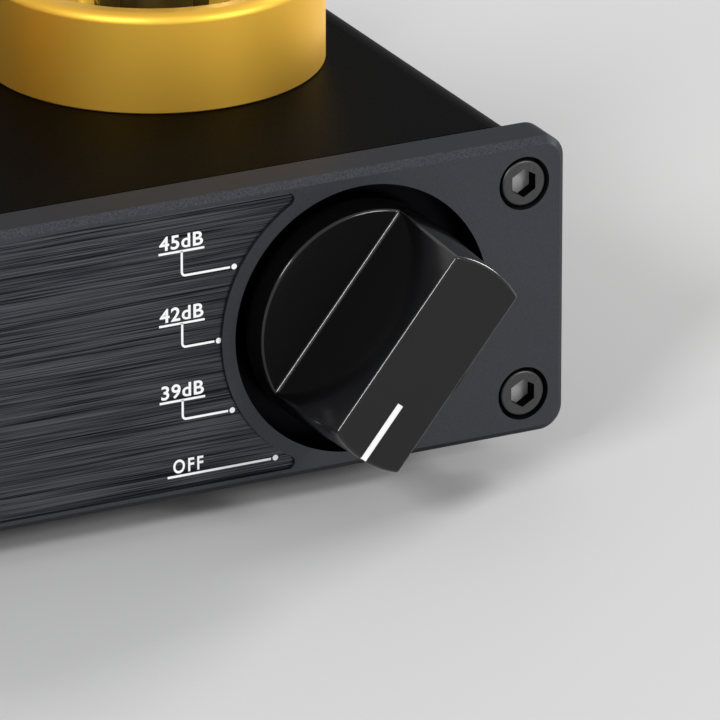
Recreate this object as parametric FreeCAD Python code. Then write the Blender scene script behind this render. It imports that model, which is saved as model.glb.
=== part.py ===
# Two-tube phono preamplifier in an extruded aluminium case, millimetres.
# X runs to the right, Y to the back and Z up, with the table at Z = 0.
import FreeCAD
import Part
import math
import os

V = FreeCAD.Vector

# Case
PANEL_W = 130.0          # width of the front and rear plates
PANEL_H = 36.0           # height of the plates and of the sleeve
PANEL_T = 5.8            # thickness of the front plate
PANEL_CORNER = 2.8       # corner radius of both plates
PANEL_CHAMFER = 0.8      # bright bevel round the front plate
EDGE_BREAK = 0.25        # small bevel on the other plate edges
REAR_T = 3.0             # thickness of the rear plate
SLEEVE_L = 100.0         # length of the extruded sleeve
SLEEVE_INSET = 2.5       # how far the sleeve stands inside the plates' sides
SLEEVE_CORNER = 4.5      # outer corner radius of the sleeve
SLEEVE_WALL = 2.0
FOOT_H = 4.3             # standing height of the feet
FOOT_R = 6.5
FOOT_INSET = 14.0        # foot centre from the sleeve's sides and ends
FOOT_EDGE = 0.7          # radius round the foot's lower rim
FOOT_SEAT = 2.15         # height of the screw's seat inside the foot
FOOT_SCREW_PROUD = 2.0   # screw's end above the sleeve's floor

# Screws through the plates into the sleeve's screw ports
SCREW_INSET = 5.35       # screw centre from the plate's side
SCREW_EDGE = 5.15        # screw centre from the plate's top or bottom
SCREW_R = 1.5
SCREW_L = 10.0
HEAD_R = 2.75
HEAD_H = 3.0
HEAD_SUNK = 0.1          # head's face below the plate's face
COUNTERBORE_GAP = 0.45   # ring between head and counterbore
HEX_FLATS = 2.95
HEX_DEPTH = 1.6
BUTTON_R = 2.85          # rear button heads
BUTTON_H = 1.65
BUTTON_EDGE = 1.0        # radius round a button head
BUTTON_FLATS = 2.0
BUTTON_SOCKET = 1.0      # depth of a button head's socket
PORT_WALL = 1.45

# Knob and its round well
KNOB_INSET = 26.0        # knob axis from the plate's right side
WELL_LAND = 1.95         # from the well to the plate's top and bottom
WELL_DEPTH = 4.2
KNOB_GAP = 2.4           # from the disc's rim to the well's wall
KNOB_PROUD = 1.8         # disc face in front of the plate
KNOB_SKIRT = 4.4         # thickness of the disc
KNOB_REACH = 16.3        # bar face in front of the plate
BAR_HALF_BASE = 5.2
BAR_HALF_FACE = 5.08
BAR_END_TAPER = 0.7      # how much the bar's end radius loses towards its face
BAR_EDGE = 0.4           # small radius round the bar's face
BAR_SUNK = 0.5           # how far the bar runs into the disc
DISC_EDGE = 0.3
KNOB_RIM = 1.45          # wall left round the hollow under the disc
KNOB_HOLLOW = 3.0
OFF_ANGLE = 39.05        # pointer from straight down towards the left at OFF
POINTER_W = 0.85
POINTER_START = 5.4
POINTER_D = 0.55
POINTER_SUNK = 0.08

# Brushed pocket left of the knob
POCKET_DEPTH = 0.4
POCKET_MARGIN = 1.25     # plate edge to the pocket's long sides
POCKET_ARC_GAP = 1.65    # land between the well and the pocket
POCKET_CORNER = 0.8
POCKET_END = 11.0        # plate's left side to the pocket's end

# Rotary switch behind the well
SHAFT_R = 3.0
SHAFT_FLAT = 1.5         # depth of the D flat
BUSHING_R = 3.5
BUSHING_PROUD = 1.0      # bushing's end in front of its nut
SWITCH_W = 16.0
SWITCH_L = 8.5
SWITCH_COVER_T = 1.5
SWITCH_WALL = 1.2
WASHER_T = 0.5
WASHER_R = 5.8
NUT_T = 2.0
NUT_FLATS = 10.0
ROTOR_R = 6.3
ROTOR_T = 3.0
NOTCH_R = 1.05
STEP_ANGLE = 27.8        # between two switch positions
INSERT_R = 4.1
INSERT_L = 10.0
INSERT_CAP = 1.0         # closed front end of the insert
TERMINAL_R = 0.45
TERMINAL_REACH = 3.5     # from the switch's back to the solder joints
TERMINAL_DROP = 4.0      # pins below the knob axis
TERMINAL_COUNT = 4

# Circuit board in the sleeve's slots
BOARD_UNDER = 8.0        # board's underside above the sleeve's floor
BOARD_T = 1.6
BOARD_END_GAP = 1.0
NOTCH_GAP = 1.5          # between the switch and the notch cut for it in the board
RIB_T = 1.4
RIB_REACH = 2.2

# Tubes, sockets and collars
TUBE_INSET = 30.5        # tube axis from the plates' sides
TUBE_BACK = 44.9         # tube axis behind the front plate's face
COLLAR_R = 20.0
COLLAR_H = 12.0
COLLAR_RIM = 1.4         # flat rim at the collar's top
COLLAR_EDGE = 1.2        # outer radius at the collar's top
COLLAR_FLOOR = 1.2       # depth left under the dish
COLLAR_BOW = 0.9         # hollow of the dish below a straight cone
COLLAR_GAP = 1.6         # from the glass to the collar's bore
SPIGOT_WALL = 1.9
SPIGOT_L = 6.2
RING_NUT_W = 3.0         # from the spigot to the ring nut's rim
RING_NUT_T = 2.5
RING_SLOT_W = 2.2
SOCKET_TOP = 15.5        # socket's top above the board
SOCKET_R = 8.6
SOCKET_FLANGE_W = 1.8    # flange beyond the socket's side
SOCKET_FLANGE_T = 3.0
SOCKET_CENTRE_R = 2.5
CONTACT_R = 1.2
CONTACT_L = 8.6
TAIL_R = 0.5
PIN_COUNT = 7
PIN_POSITIONS = 8
PIN_CIRCLE_R = 4.76
PIN_R = 0.51
PIN_L = 7.0
GLASS_R = 9.0
GLASS_H = 42.0
GLASS_WALL = 0.8
GLASS_STEM = 2.2         # thickness of the tube's glass base
GLASS_BASE_EDGE = 1.2
DOME_H = 8.1             # from the glass's shoulder to the foot of its tip
DOME_BOW = 2.1           # bulge of the dome beyond a straight cone
TIP_R = 1.5
TIP_END_R = 1.2
TIP_H = 3.4
MICA_FIT = 0.5           # from a mica's rim to the glass
MICA_T = 0.4
MICA_LOW = 6.0           # lower mica above the stem
MICA_TOP_GAP = 1.5       # upper mica below the glass's shoulder
ANODE_R = 4.6
ANODE_T = 0.3
ANODE_FIN = 2.4
ROD_R = 0.45
ROD_OUT = 1.3            # rod's axis beyond the anode's round wall
ROD_PROUD = 1.0          # rods and cathode above the upper mica
CATHODE_R = 0.8
CATHODE_BORE_R = 0.4
GETTER_R = 3.2
GETTER_WIRE_R = 0.45
GETTER_STALK_R = 0.25
GETTER_LIFT = 4.0

# Parts on the board
CAN_R = 6.3
CAN_HEADROOM = 2.4       # from a large can up to the sleeve's ceiling
CAN_BACK = 10.0          # can axis behind the collar
CAN_PITCH = 13.5         # between the large and the small can of one side
CAN_EDGE = 0.5
CAN_GROOVE_Z = 1.9       # rolled groove above the board
CAN_GROOVE_D = 0.4
CAN_GROOVE_HALF = 0.5    # half the groove's width
SMALL_CAN_R = 5.0
SMALL_CAN_HEADROOM = 6.4
SMALL_CAN_INSET = 3.5    # small can's axis from the tube's, towards the middle
FILM_W = 6.0
FILM_L = 13.0
FILM_H = 10.0
FILM_PITCH = 17.0
FILM_FRONT = 13.0        # first film capacitor's front before the tube axis
FILM_GAP = 7.4           # from the socket to the film capacitors
CHIP_W = 9.6
CHIP_L = 6.4
CHIP_H = 3.6
CHIP_OUT = 15.5          # chip's centre outwards from the tube axis
CHIP_GAP = 5.7           # from the chips back to the regulators
REGULATOR_W = 10.0
REGULATOR_T = 3.2
REGULATOR_H = 9.0
REGULATOR_PITCH = 11.0
REGULATOR_SIDE = 8.5     # outer regulator's centre from the sleeve's inner side
REGULATOR_FRONT = 28.0   # regulators' fronts from the sleeve's rear end
TAB_T = 1.3
TAB_H = 15.5
TAB_HOLE_R = 1.8
TAB_HOLE_DROP = 3.0      # hole's centre below the tab's top
RESISTOR_R = 1.15
RESISTOR_L = 6.4
RESISTOR_PITCH = 5.0
RESISTOR_COUNT = 4
RESISTOR_FRONT = 10.0    # first resistor before the tube axis
RESISTOR_GAP = 6.7       # from the socket to the resistors

# Rear connections
JACK_R = 4.15
JACK_WALL = 0.6
JACK_REACH = 9.5         # shells behind the rear plate
JACK_PITCH = 14.0
JACK_NECK_R = 3.95       # shell where it passes through ring and plate
JACK_UNDERCUT = 0.3      # neck left bare between ring and barrel
JACK_SPIGOT_R = 4.5      # insulating ring's part inside the plate
JACK_RING_R = 5.6
JACK_RING_T = 1.2
JACK_CORE_HOLE = 1.65
JACK_CONTACT_WALL = 0.4
JACK_CORE_SUNK = 1.0
JACK_BLOCK_L = 12.0
JACK_BLOCK_TOP = 6.5     # block's top above the jack's axis
INPUT_INSET = 21.0       # middle of the input pair from the plate's right side
PAIR_PITCH = 52.0        # between the two pairs of jacks, with the ground post halfway
POST_R = 2.0
POST_REACH = 14.0
POST_HEAD_T = 3.0
POST_HEAD_FLATS = 7.0
LOCK_NUT_T = 2.4
THUMB_WASHER_R = 4.2
THUMB_WASHER_T = 0.8
THUMB_R = 4.6
THUMB_L = 6.0
THUMB_GROOVES = 20
THUMB_GROOVE_D = 0.35
POWER_INSET = 19.0       # power socket's axis from the plate's left side
POWER_W = 9.0
POWER_L = 14.0
POWER_H = 11.0
POWER_NOSE_R = 4.4
POWER_BORE_R = 2.8
POWER_BORE_L = 9.0
POWER_PIN_R = 1.05
POWER_PIN_SUNK = 0.8

# Clearances
RUN_FIT = 0.05           # radial, for parts that turn or slide
SLIP_FIT = 0.1           # radial, for fixed parts put through holes
SEAT_GAP = 0.2           # between two bodies that rest on each other
OVERRUN = 1.0            # how far a cutting shape runs past a face
TINY = 1e-4              # tolerance for finding edges

# Places worked out from the sizes above
REAR_REACH = max(JACK_REACH, POST_REACH)
TOTAL_L = KNOB_REACH + PANEL_T + SLEEVE_L + REAR_T + REAR_REACH
FACE_Y = KNOB_REACH - TOTAL_L / 2
PANEL_BACK_Y = FACE_Y + PANEL_T
SLEEVE_END_Y = PANEL_BACK_Y + SLEEVE_L
REAR_Y = SLEEVE_END_Y + REAR_T
MID_Z = FOOT_H + PANEL_H / 2
TOP_Z = FOOT_H + PANEL_H
CEILING_Z = TOP_Z - SLEEVE_WALL
FLOOR_Z = FOOT_H + SLEEVE_WALL
SLEEVE_HALF = PANEL_W / 2 - SLEEVE_INSET
INNER_HALF = SLEEVE_HALF - SLEEVE_WALL
SCREW_X = PANEL_W / 2 - SCREW_INSET
SCREW_HEIGHTS = [FOOT_H + SCREW_EDGE, TOP_Z - SCREW_EDGE]
KNOB_X = PANEL_W / 2 - KNOB_INSET
WELL_R = PANEL_H / 2 - WELL_LAND
KNOB_R = WELL_R - KNOB_GAP
DISC_Y = FACE_Y - KNOB_PROUD
BAR_Y = FACE_Y - KNOB_REACH
BAR_END_R = KNOB_R - BAR_END_TAPER
HOLLOW_Y = DISC_Y + KNOB_SKIRT - KNOB_HOLLOW
WELL_Y = FACE_Y + WELL_DEPTH
BOARD_Z = FLOOR_Z + BOARD_UNDER
BOARD_TOP = BOARD_Z + BOARD_T
TUBE_Y = FACE_Y + TUBE_BACK
TUBE_X = PANEL_W / 2 - TUBE_INSET
TUBE_SIDES = {"left": -TUBE_X, "right": TUBE_X}
SOCKET_Z = BOARD_TOP + SOCKET_TOP
GLASS_Z = SOCKET_Z + SEAT_GAP
STEM_Z = GLASS_Z + GLASS_STEM
SHOULDER_H = GLASS_H - TIP_H - DOME_H
COLLAR_BORE_R = GLASS_R + COLLAR_GAP
SPIGOT_R = COLLAR_BORE_R + SPIGOT_WALL
RING_NUT_R = SPIGOT_R + RING_NUT_W
MICA_R = GLASS_R - GLASS_WALL - MICA_FIT
MICA_HEIGHTS = [STEM_Z + MICA_LOW, GLASS_Z + SHOULDER_H - MICA_TOP_GAP - MICA_T]
ROD_TOP = MICA_HEIGHTS[1] + MICA_T + ROD_PROUD
ROD_X = ANODE_R + ROD_OUT
INPUT_X = PANEL_W / 2 - INPUT_INSET
OUTPUT_X = INPUT_X - PAIR_PITCH
POST_X = (INPUT_X + OUTPUT_X) / 2
POWER_X = POWER_INSET - PANEL_W / 2


def save(name, shape):
    """Write one named node."""
    shape.exportStep("parts/" + name + ".step")


def group(shapes):
    """Several separate solids that share one node."""
    return Part.makeCompound(shapes)


def box(x_span, y_span, z_span):
    """Block between two values on each axis."""
    size = [abs(b - a) for a, b in (x_span, y_span, z_span)]
    return Part.makeBox(size[0], size[1], size[2], V(min(x_span), min(y_span), min(z_span)))


def rod_y(r, x, z, y0, y1):
    """Cylinder along Y from y0 back to y1."""
    return Part.makeCylinder(r, y1 - y0, V(x, y0, z), V(0, 1, 0))


def rod_z(r, x, y, z0, z1):
    """Cylinder along Z from z0 up to z1."""
    return Part.makeCylinder(r, z1 - z0, V(x, y, z0), V(0, 0, 1))


def pipe_y(r_out, r_in, x, z, y0, y1):
    return rod_y(r_out, x, z, y0, y1).cut(rod_y(r_in, x, z, y0, y1))


def pipe_z(r_out, r_in, x, y, z0, z1):
    return rod_z(r_out, x, y, z0, z1).cut(rod_z(r_in, x, y, z0, z1))


def hex_y(flats, x, z, y0, y1):
    """Hexagonal bar along Y with a corner at the top."""
    r = flats / math.sqrt(3)
    corners = []
    for i in range(6):
        a = math.radians(60 * i)
        corners.append(V(x + r * math.sin(a), y0, z + r * math.cos(a)))
    return Part.Face(Part.makePolygon(corners + corners[:1])).extrude(V(0, y1 - y0, 0))


def rounded_slab(half_w, z0, z1, r, y0, y1):
    """Plate across X and Z with round corners, from y0 back to y1."""
    slab = box((-half_w, half_w), (y0, y1), (z0, z1))
    return slab.makeFillet(r, edges_along(slab, V(0, 1, 0)))


def edges_along(shape, direction):
    """Straight edges of a shape that run along one direction."""
    found = []
    for edge in shape.Edges:
        if isinstance(edge.Curve, Part.Line):
            run = (edge.Vertexes[-1].Point - edge.Vertexes[0].Point).normalize()
            if abs(abs(run.dot(direction)) - 1) < TINY:
                found.append(edge)
    return found


def edges_at_y(shape, y):
    """Edges that lie wholly in the plane at one Y."""
    return [e for e in shape.Edges if abs(e.BoundBox.YMin - y) < TINY and abs(e.BoundBox.YMax - y) < TINY]


def turned(points, x, y, z):
    """Solid of revolution about a vertical axis, from (radius, height) points and arcs.

    A point of the list may be a pair, or ("arc", middle, end) for a round stretch.
    """
    edges = []
    here = V(points[0][0], 0, points[0][1])
    for item in points[1:] + [points[0]]:
        if item[0] == "arc":
            middle = V(item[1][0], 0, item[1][1])
            end = V(item[2][0], 0, item[2][1])
            edges.append(Part.Arc(here, middle, end).toShape())
        else:
            end = V(item[0], 0, item[1])
            if (end - here).Length < TINY:
                continue
            edges.append(Part.makeLine(here, end))
        here = end
    solid = Part.Face(Part.Wire(edges)).revolve(V(0, 0, 0), V(0, 0, 1), 360)
    solid.translate(V(x, y, z))
    return solid


def quarter(cx, cz, r, start_deg, end_deg):
    """Round stretch of a turned outline about (cx, cz), from one angle to another."""
    mid = math.radians((start_deg + end_deg) / 2)
    end = math.radians(end_deg)
    middle = (cx + r * math.cos(mid), cz + r * math.sin(mid))
    return ("arc", middle, (cx + r * math.cos(end), cz + r * math.sin(end)))


def bowed(start, end, bow):
    """Round stretch whose middle stands off its chord, to the right where bow is positive."""
    dr = end[0] - start[0]
    dz = end[1] - start[1]
    share = bow / math.hypot(dr, dz)
    middle = ((start[0] + end[0]) / 2 + dz * share, (start[1] + end[1]) / 2 - dr * share)
    return ("arc", middle, end)


def screw_places():
    """Centres of the four case screws, as (x, z)."""
    return [(side * SCREW_X, z) for side in (-1, 1) for z in SCREW_HEIGHTS]


def foot_places():
    """Centres of the four feet, as (x, y)."""
    x = SLEEVE_HALF - FOOT_INSET
    return [(sx * x, y) for sx in (-1, 1) for y in (PANEL_BACK_Y + FOOT_INSET, SLEEVE_END_Y - FOOT_INSET)]


def jack_places():
    """The four jacks as (x, colour name): the left channel of each pair is white."""
    places = []
    for middle in (INPUT_X, OUTPUT_X):
        places.append((middle - JACK_PITCH / 2, "red"))
        places.append((middle + JACK_PITCH / 2, "white"))
    return places


def pin_angles():
    """Angles of a miniature tube's pins: eight even places with one left empty."""
    step = 360 / PIN_POSITIONS
    return [math.radians(-90 + step * (i + 1)) for i in range(PIN_COUNT)]


def pin_places(x):
    return [(x + PIN_CIRCLE_R * math.cos(a), TUBE_Y + PIN_CIRCLE_R * math.sin(a)) for a in pin_angles()]


# Case
def front_plate():
    plate = rounded_slab(PANEL_W / 2, FOOT_H, TOP_Z, PANEL_CORNER, FACE_Y, PANEL_BACK_Y)
    plate = plate.makeChamfer(PANEL_CHAMFER, edges_at_y(plate, FACE_Y))
    plate = plate.makeChamfer(EDGE_BREAK, edges_at_y(plate, PANEL_BACK_Y))
    plate = plate.cut(rod_y(WELL_R, KNOB_X, MID_Z, FACE_Y - OVERRUN, WELL_Y))
    plate = plate.cut(rod_y(BUSHING_R + SLIP_FIT, KNOB_X, MID_Z, FACE_Y, PANEL_BACK_Y + OVERRUN))
    plate = plate.cut(brushed_pocket())
    for x, z in screw_places():
        seat_y = FACE_Y + HEAD_SUNK + HEAD_H
        plate = plate.cut(rod_y(HEAD_R + COUNTERBORE_GAP, x, z, FACE_Y - OVERRUN, seat_y))
        plate = plate.cut(rod_y(SCREW_R + SLIP_FIT, x, z, FACE_Y, PANEL_BACK_Y + OVERRUN))
    return plate


def brushed_pocket():
    """Shallow pocket whose right end follows the well in a hollow curve."""
    arc_r = WELL_R + POCKET_ARC_GAP
    z_span = (FOOT_H + POCKET_MARGIN, TOP_Z - POCKET_MARGIN)
    y_span = (FACE_Y - OVERRUN, FACE_Y + POCKET_DEPTH)
    slab = box((-PANEL_W / 2 + POCKET_END, KNOB_X), y_span, z_span)
    slab = slab.cut(rod_y(arc_r, KNOB_X, MID_Z, y_span[0], y_span[1]))
    solid = min(slab.Solids, key=lambda s: s.BoundBox.XMin)
    return solid.makeFillet(POCKET_CORNER, edges_along(solid, V(0, 1, 0)))


def rear_plate():
    plate = rounded_slab(PANEL_W / 2, FOOT_H, TOP_Z, PANEL_CORNER, SLEEVE_END_Y, REAR_Y)
    plate = plate.makeChamfer(EDGE_BREAK, edges_at_y(plate, REAR_Y))
    holes = [(x, z, SCREW_R + SLIP_FIT) for x, z in screw_places()]
    holes += [(x, MID_Z, JACK_SPIGOT_R + SLIP_FIT) for x, colour in jack_places()]
    holes.append((POST_X, MID_Z, POST_R + SLIP_FIT))
    holes.append((POWER_X, MID_Z, POWER_NOSE_R + SLIP_FIT))
    for x, z, r in holes:
        plate = plate.cut(rod_y(r, x, z, SLEEVE_END_Y - OVERRUN, REAR_Y + OVERRUN))
    return plate


def sleeve():
    """Extruded sleeve with four screw ports and a slot on each side for the board."""
    outer = rounded_slab(SLEEVE_HALF, FOOT_H, TOP_Z, SLEEVE_CORNER, PANEL_BACK_Y, SLEEVE_END_Y)
    inner_corner = SLEEVE_CORNER - SLEEVE_WALL
    body = outer.cut(rounded_slab(INNER_HALF, FLOOR_Z, CEILING_Z, inner_corner, PANEL_BACK_Y, SLEEVE_END_Y))
    for x, z in screw_places():
        port = rod_y(SCREW_R + PORT_WALL, x, z, PANEL_BACK_Y, SLEEVE_END_Y)
        body = body.fuse(port.common(outer))
    for side in (-1, 1):
        x_span = (side * (INNER_HALF - RIB_REACH), side * (INNER_HALF + SLEEVE_WALL / 2))
        for z in (BOARD_Z - RIB_T, BOARD_TOP + SLIP_FIT):
            body = body.fuse(box(x_span, (PANEL_BACK_Y, SLEEVE_END_Y), (z, z + RIB_T)))
    for x, z in screw_places():
        body = body.cut(rod_y(SCREW_R + RUN_FIT, x, z, PANEL_BACK_Y - OVERRUN, SLEEVE_END_Y + OVERRUN))
    for x in TUBE_SIDES.values():
        body = body.cut(rod_z(SPIGOT_R + SLIP_FIT, x, TUBE_Y, CEILING_Z - OVERRUN, TOP_Z + OVERRUN))
    for x, y in foot_places():
        body = body.cut(rod_z(SCREW_R + RUN_FIT, x, y, FOOT_H - OVERRUN, FLOOR_Z + OVERRUN))
    return body.removeSplitter()


def cap_screw(x, z):
    """Socket cap screw, head towards the front."""
    head_y = FACE_Y + HEAD_SUNK
    head = rod_y(HEAD_R, x, z, head_y, head_y + HEAD_H)
    head = head.makeChamfer(EDGE_BREAK, edges_at_y(head, head_y))
    shank = rod_y(SCREW_R, x, z, head_y + HEAD_H, head_y + HEAD_H + SCREW_L)
    return head.fuse(shank).cut(hex_y(HEX_FLATS, x, z, head_y - OVERRUN, head_y + HEX_DEPTH))


def button_screw(x, z):
    """Button head screw on the rear plate, pointing forwards."""
    face_y = REAR_Y + BUTTON_H
    head = rod_y(BUTTON_R, x, z, REAR_Y, face_y)
    head = head.makeFillet(BUTTON_EDGE, edges_at_y(head, face_y))
    shank = rod_y(SCREW_R, x, z, REAR_Y - SCREW_L, REAR_Y)
    return head.fuse(shank).cut(hex_y(BUTTON_FLATS, x, z, face_y - BUTTON_SOCKET, face_y + OVERRUN))


def foot(x, y):
    """Round rubber foot with a sunk hole for its screw."""
    body = rod_z(FOOT_R, x, y, 0, FOOT_H)
    rim = [e for e in body.Edges if e.BoundBox.ZMax < FOOT_H / 2]
    body = body.makeFillet(FOOT_EDGE, rim)
    body = body.cut(rod_z(SCREW_R + SLIP_FIT, x, y, 0, FOOT_H))
    return body.cut(rod_z(HEAD_R + COUNTERBORE_GAP, x, y, 0, FOOT_SEAT))


def foot_screw(x, y):
    """Pan head screw that holds a foot to the sleeve's floor."""
    head = rod_z(HEAD_R, x, y, FOOT_SEAT - BUTTON_H, FOOT_SEAT)
    return head.fuse(rod_z(SCREW_R, x, y, FOOT_SEAT, FLOOR_Z + FOOT_SCREW_PROUD))


# Knob and switch
def knob():
    """Disc with a tall grip bar across it, hollow behind and grooved for the pointer."""
    skirt_y = DISC_Y + KNOB_SKIRT
    disc = rod_y(KNOB_R, KNOB_X, MID_Z, DISC_Y, skirt_y)
    disc = disc.makeFillet(DISC_EDGE, edges_at_y(disc, DISC_Y))
    body = disc.fuse(grip_bar())
    body = body.cut(rod_y(KNOB_R - KNOB_RIM, KNOB_X, MID_Z, HOLLOW_Y, skirt_y))
    body = body.cut(rod_y(INSERT_R, KNOB_X, MID_Z, HOLLOW_Y - INSERT_L, HOLLOW_Y))
    return body.cut(pointer_strip(BAR_Y - OVERRUN, KNOB_R + OVERRUN))


def grip_bar():
    """Bar with flat sides and round ends, narrowing a little towards its face."""
    foot_y = DISC_Y + BAR_SUNK
    cone = Part.makeCone(BAR_END_R, KNOB_R, DISC_Y - BAR_Y, V(KNOB_X, BAR_Y, MID_Z), V(0, 1, 0))
    cone = cone.fuse(rod_y(KNOB_R, KNOB_X, MID_Z, DISC_Y, foot_y)).removeSplitter()
    sections = [bar_section(BAR_HALF_FACE, BAR_Y), bar_section(BAR_HALF_BASE, foot_y)]
    bar = Part.makeLoft(sections, True, True).common(cone)
    bar = bar.makeFillet(BAR_EDGE, edges_at_y(bar, BAR_Y))
    return bar.rotated(V(KNOB_X, 0, MID_Z), V(0, 1, 0), OFF_ANGLE)


def bar_section(half, y):
    """Oblong outline across the knob at one Y, longer than the knob is wide."""
    reach = KNOB_R + OVERRUN
    corners = [(-half, -reach), (half, -reach), (half, reach), (-half, reach), (-half, -reach)]
    return Part.makePolygon([V(KNOB_X + x, y, MID_Z + z) for x, z in corners])


def pointer_strip(front_y, end_r):
    """Strip along the bar's face from near the middle out to a radius, turned to OFF."""
    x_span = (KNOB_X - POINTER_W / 2, KNOB_X + POINTER_W / 2)
    strip = box(x_span, (front_y, BAR_Y + POINTER_D), (MID_Z - end_r, MID_Z - POINTER_START))
    return strip.rotated(V(KNOB_X, 0, MID_Z), V(0, 1, 0), OFF_ANGLE)


def shaft_flat(r, y0, y1):
    """Round bar along the knob axis with a flat on its upper side."""
    bar = rod_y(r, KNOB_X, MID_Z, y0, y1)
    cut_z = MID_Z + r - SHAFT_FLAT
    return bar.cut(box((KNOB_X - r, KNOB_X + r), (y0, y1), (cut_z, cut_z + SHAFT_FLAT)))


def knob_insert():
    """Brass sleeve in the knob with a D-shaped bore."""
    front_y = HOLLOW_Y - INSERT_L
    bore = shaft_flat(SHAFT_R, front_y + INSERT_CAP, HOLLOW_Y)
    return rod_y(INSERT_R, KNOB_X, MID_Z, front_y, HOLLOW_Y).cut(bore)


def switch_shaft():
    """Shaft from the insert's bore back through the rotor."""
    front = shaft_flat(SHAFT_R, HOLLOW_Y - INSERT_L + INSERT_CAP, HOLLOW_Y)
    rotor_back_y = PANEL_BACK_Y + SWITCH_COVER_T + SEAT_GAP + ROTOR_T
    return front.fuse(rod_y(SHAFT_R, KNOB_X, MID_Z, HOLLOW_Y, rotor_back_y)).removeSplitter()


def switch_rotor():
    """Disc with notches that carries the moving contact round the switch."""
    y0 = PANEL_BACK_Y + SWITCH_COVER_T + SEAT_GAP
    rotor = pipe_y(ROTOR_R, SHAFT_R, KNOB_X, MID_Z, y0, y0 + ROTOR_T)
    notch = rod_y(NOTCH_R, KNOB_X, MID_Z + ROTOR_R, y0, y0 + ROTOR_T)
    for i in range(TERMINAL_COUNT):
        rotor = rotor.cut(notch.rotated(V(KNOB_X, 0, MID_Z), V(0, 1, 0), STEP_ANGLE * i))
    return rotor


def switch_cover():
    """Metal front of the switch with its threaded bushing."""
    half = SWITCH_W / 2
    y0 = PANEL_BACK_Y
    cover = box((KNOB_X - half, KNOB_X + half), (y0, y0 + SWITCH_COVER_T), (MID_Z - half, MID_Z + half))
    bushing_y = WELL_Y - WASHER_T - NUT_T - BUSHING_PROUD
    cover = cover.fuse(rod_y(BUSHING_R, KNOB_X, MID_Z, bushing_y, y0))
    return cover.cut(rod_y(SHAFT_R + RUN_FIT, KNOB_X, MID_Z, bushing_y, y0 + SWITCH_COVER_T))


def switch_housing():
    """Moulded cup behind the cover that holds the contacts."""
    half = SWITCH_W / 2
    y0 = PANEL_BACK_Y + SWITCH_COVER_T
    cup = box((KNOB_X - half, KNOB_X + half), (y0, y0 + SWITCH_L), (MID_Z - half, MID_Z + half))
    return cup.cut(rod_y(half - SWITCH_WALL, KNOB_X, MID_Z, y0, y0 + SWITCH_L - SWITCH_WALL))


def switch_terminals():
    """Bent solder pins from the back of the switch down to the board."""
    back_y = PANEL_BACK_Y + SWITCH_COVER_T + SWITCH_L
    pin_z = MID_Z - TERMINAL_DROP
    pitch = SWITCH_W / (TERMINAL_COUNT + 1)
    pins = []
    for i in range(TERMINAL_COUNT):
        x = KNOB_X + pitch * (i - (TERMINAL_COUNT - 1) / 2)
        across = rod_y(TERMINAL_R, x, pin_z, back_y, back_y + TERMINAL_REACH)
        bend = Part.makeSphere(TERMINAL_R, V(x, back_y + TERMINAL_REACH, pin_z))
        down = rod_z(TERMINAL_R, x, back_y + TERMINAL_REACH, BOARD_TOP, pin_z)
        pins.append(across.fuse(bend).fuse(down).removeSplitter())
    return group(pins)


def switch_washer():
    return pipe_y(WASHER_R, BUSHING_R + RUN_FIT, KNOB_X, MID_Z, WELL_Y - WASHER_T, WELL_Y)


def switch_nut():
    y1 = WELL_Y - WASHER_T
    nut = hex_y(NUT_FLATS, KNOB_X, MID_Z, y1 - NUT_T, y1)
    return nut.cut(rod_y(BUSHING_R + RUN_FIT, KNOB_X, MID_Z, y1 - NUT_T, y1))


# Tubes
def collar(x):
    """Turned ring with a dished mouth and a threaded spigot through the sleeve."""
    rim = (COLLAR_R - COLLAR_EDGE - COLLAR_RIM, COLLAR_H)
    outline = [
        (COLLAR_R, 0),
        (COLLAR_R, COLLAR_H - COLLAR_EDGE),
        quarter(COLLAR_R - COLLAR_EDGE, COLLAR_H - COLLAR_EDGE, COLLAR_EDGE, 0, 90),
        rim,
        bowed(rim, (COLLAR_BORE_R, COLLAR_FLOOR), -COLLAR_BOW),
        (COLLAR_BORE_R, -SPIGOT_L),
        (SPIGOT_R, -SPIGOT_L),
        (SPIGOT_R, 0),
    ]
    return turned(outline, x, TUBE_Y, TOP_Z)


def ring_nut(x):
    """Slotted ring nut under the sleeve's top that holds the collar."""
    z1 = CEILING_Z
    ring = pipe_z(RING_NUT_R, SPIGOT_R + RUN_FIT, x, TUBE_Y, z1 - RING_NUT_T, z1)
    slot_y = (TUBE_Y - RING_SLOT_W / 2, TUBE_Y + RING_SLOT_W / 2)
    depth = (RING_NUT_R - SPIGOT_R) / 2
    for side in (-1, 1):
        x_span = (x + side * (RING_NUT_R - depth), x + side * (RING_NUT_R + OVERRUN))
        ring = ring.cut(box(x_span, slot_y, (z1 - RING_NUT_T, z1)))
    return ring


def tube_socket(x):
    """Seven-way socket that stands on the board."""
    flange_z = SOCKET_Z - SOCKET_FLANGE_T
    body = rod_z(SOCKET_R, x, TUBE_Y, BOARD_TOP, flange_z)
    body = body.fuse(rod_z(SOCKET_R + SOCKET_FLANGE_W, x, TUBE_Y, flange_z, SOCKET_Z))
    body = body.cut(rod_z(SOCKET_CENTRE_R, x, TUBE_Y, BOARD_TOP, SOCKET_Z))
    for px, py in pin_places(x):
        body = body.cut(rod_z(CONTACT_R + RUN_FIT, px, py, SOCKET_Z - CONTACT_L, SOCKET_Z))
        body = body.cut(rod_z(TAIL_R + RUN_FIT, px, py, BOARD_TOP, SOCKET_Z - CONTACT_L))
    return body


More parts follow.
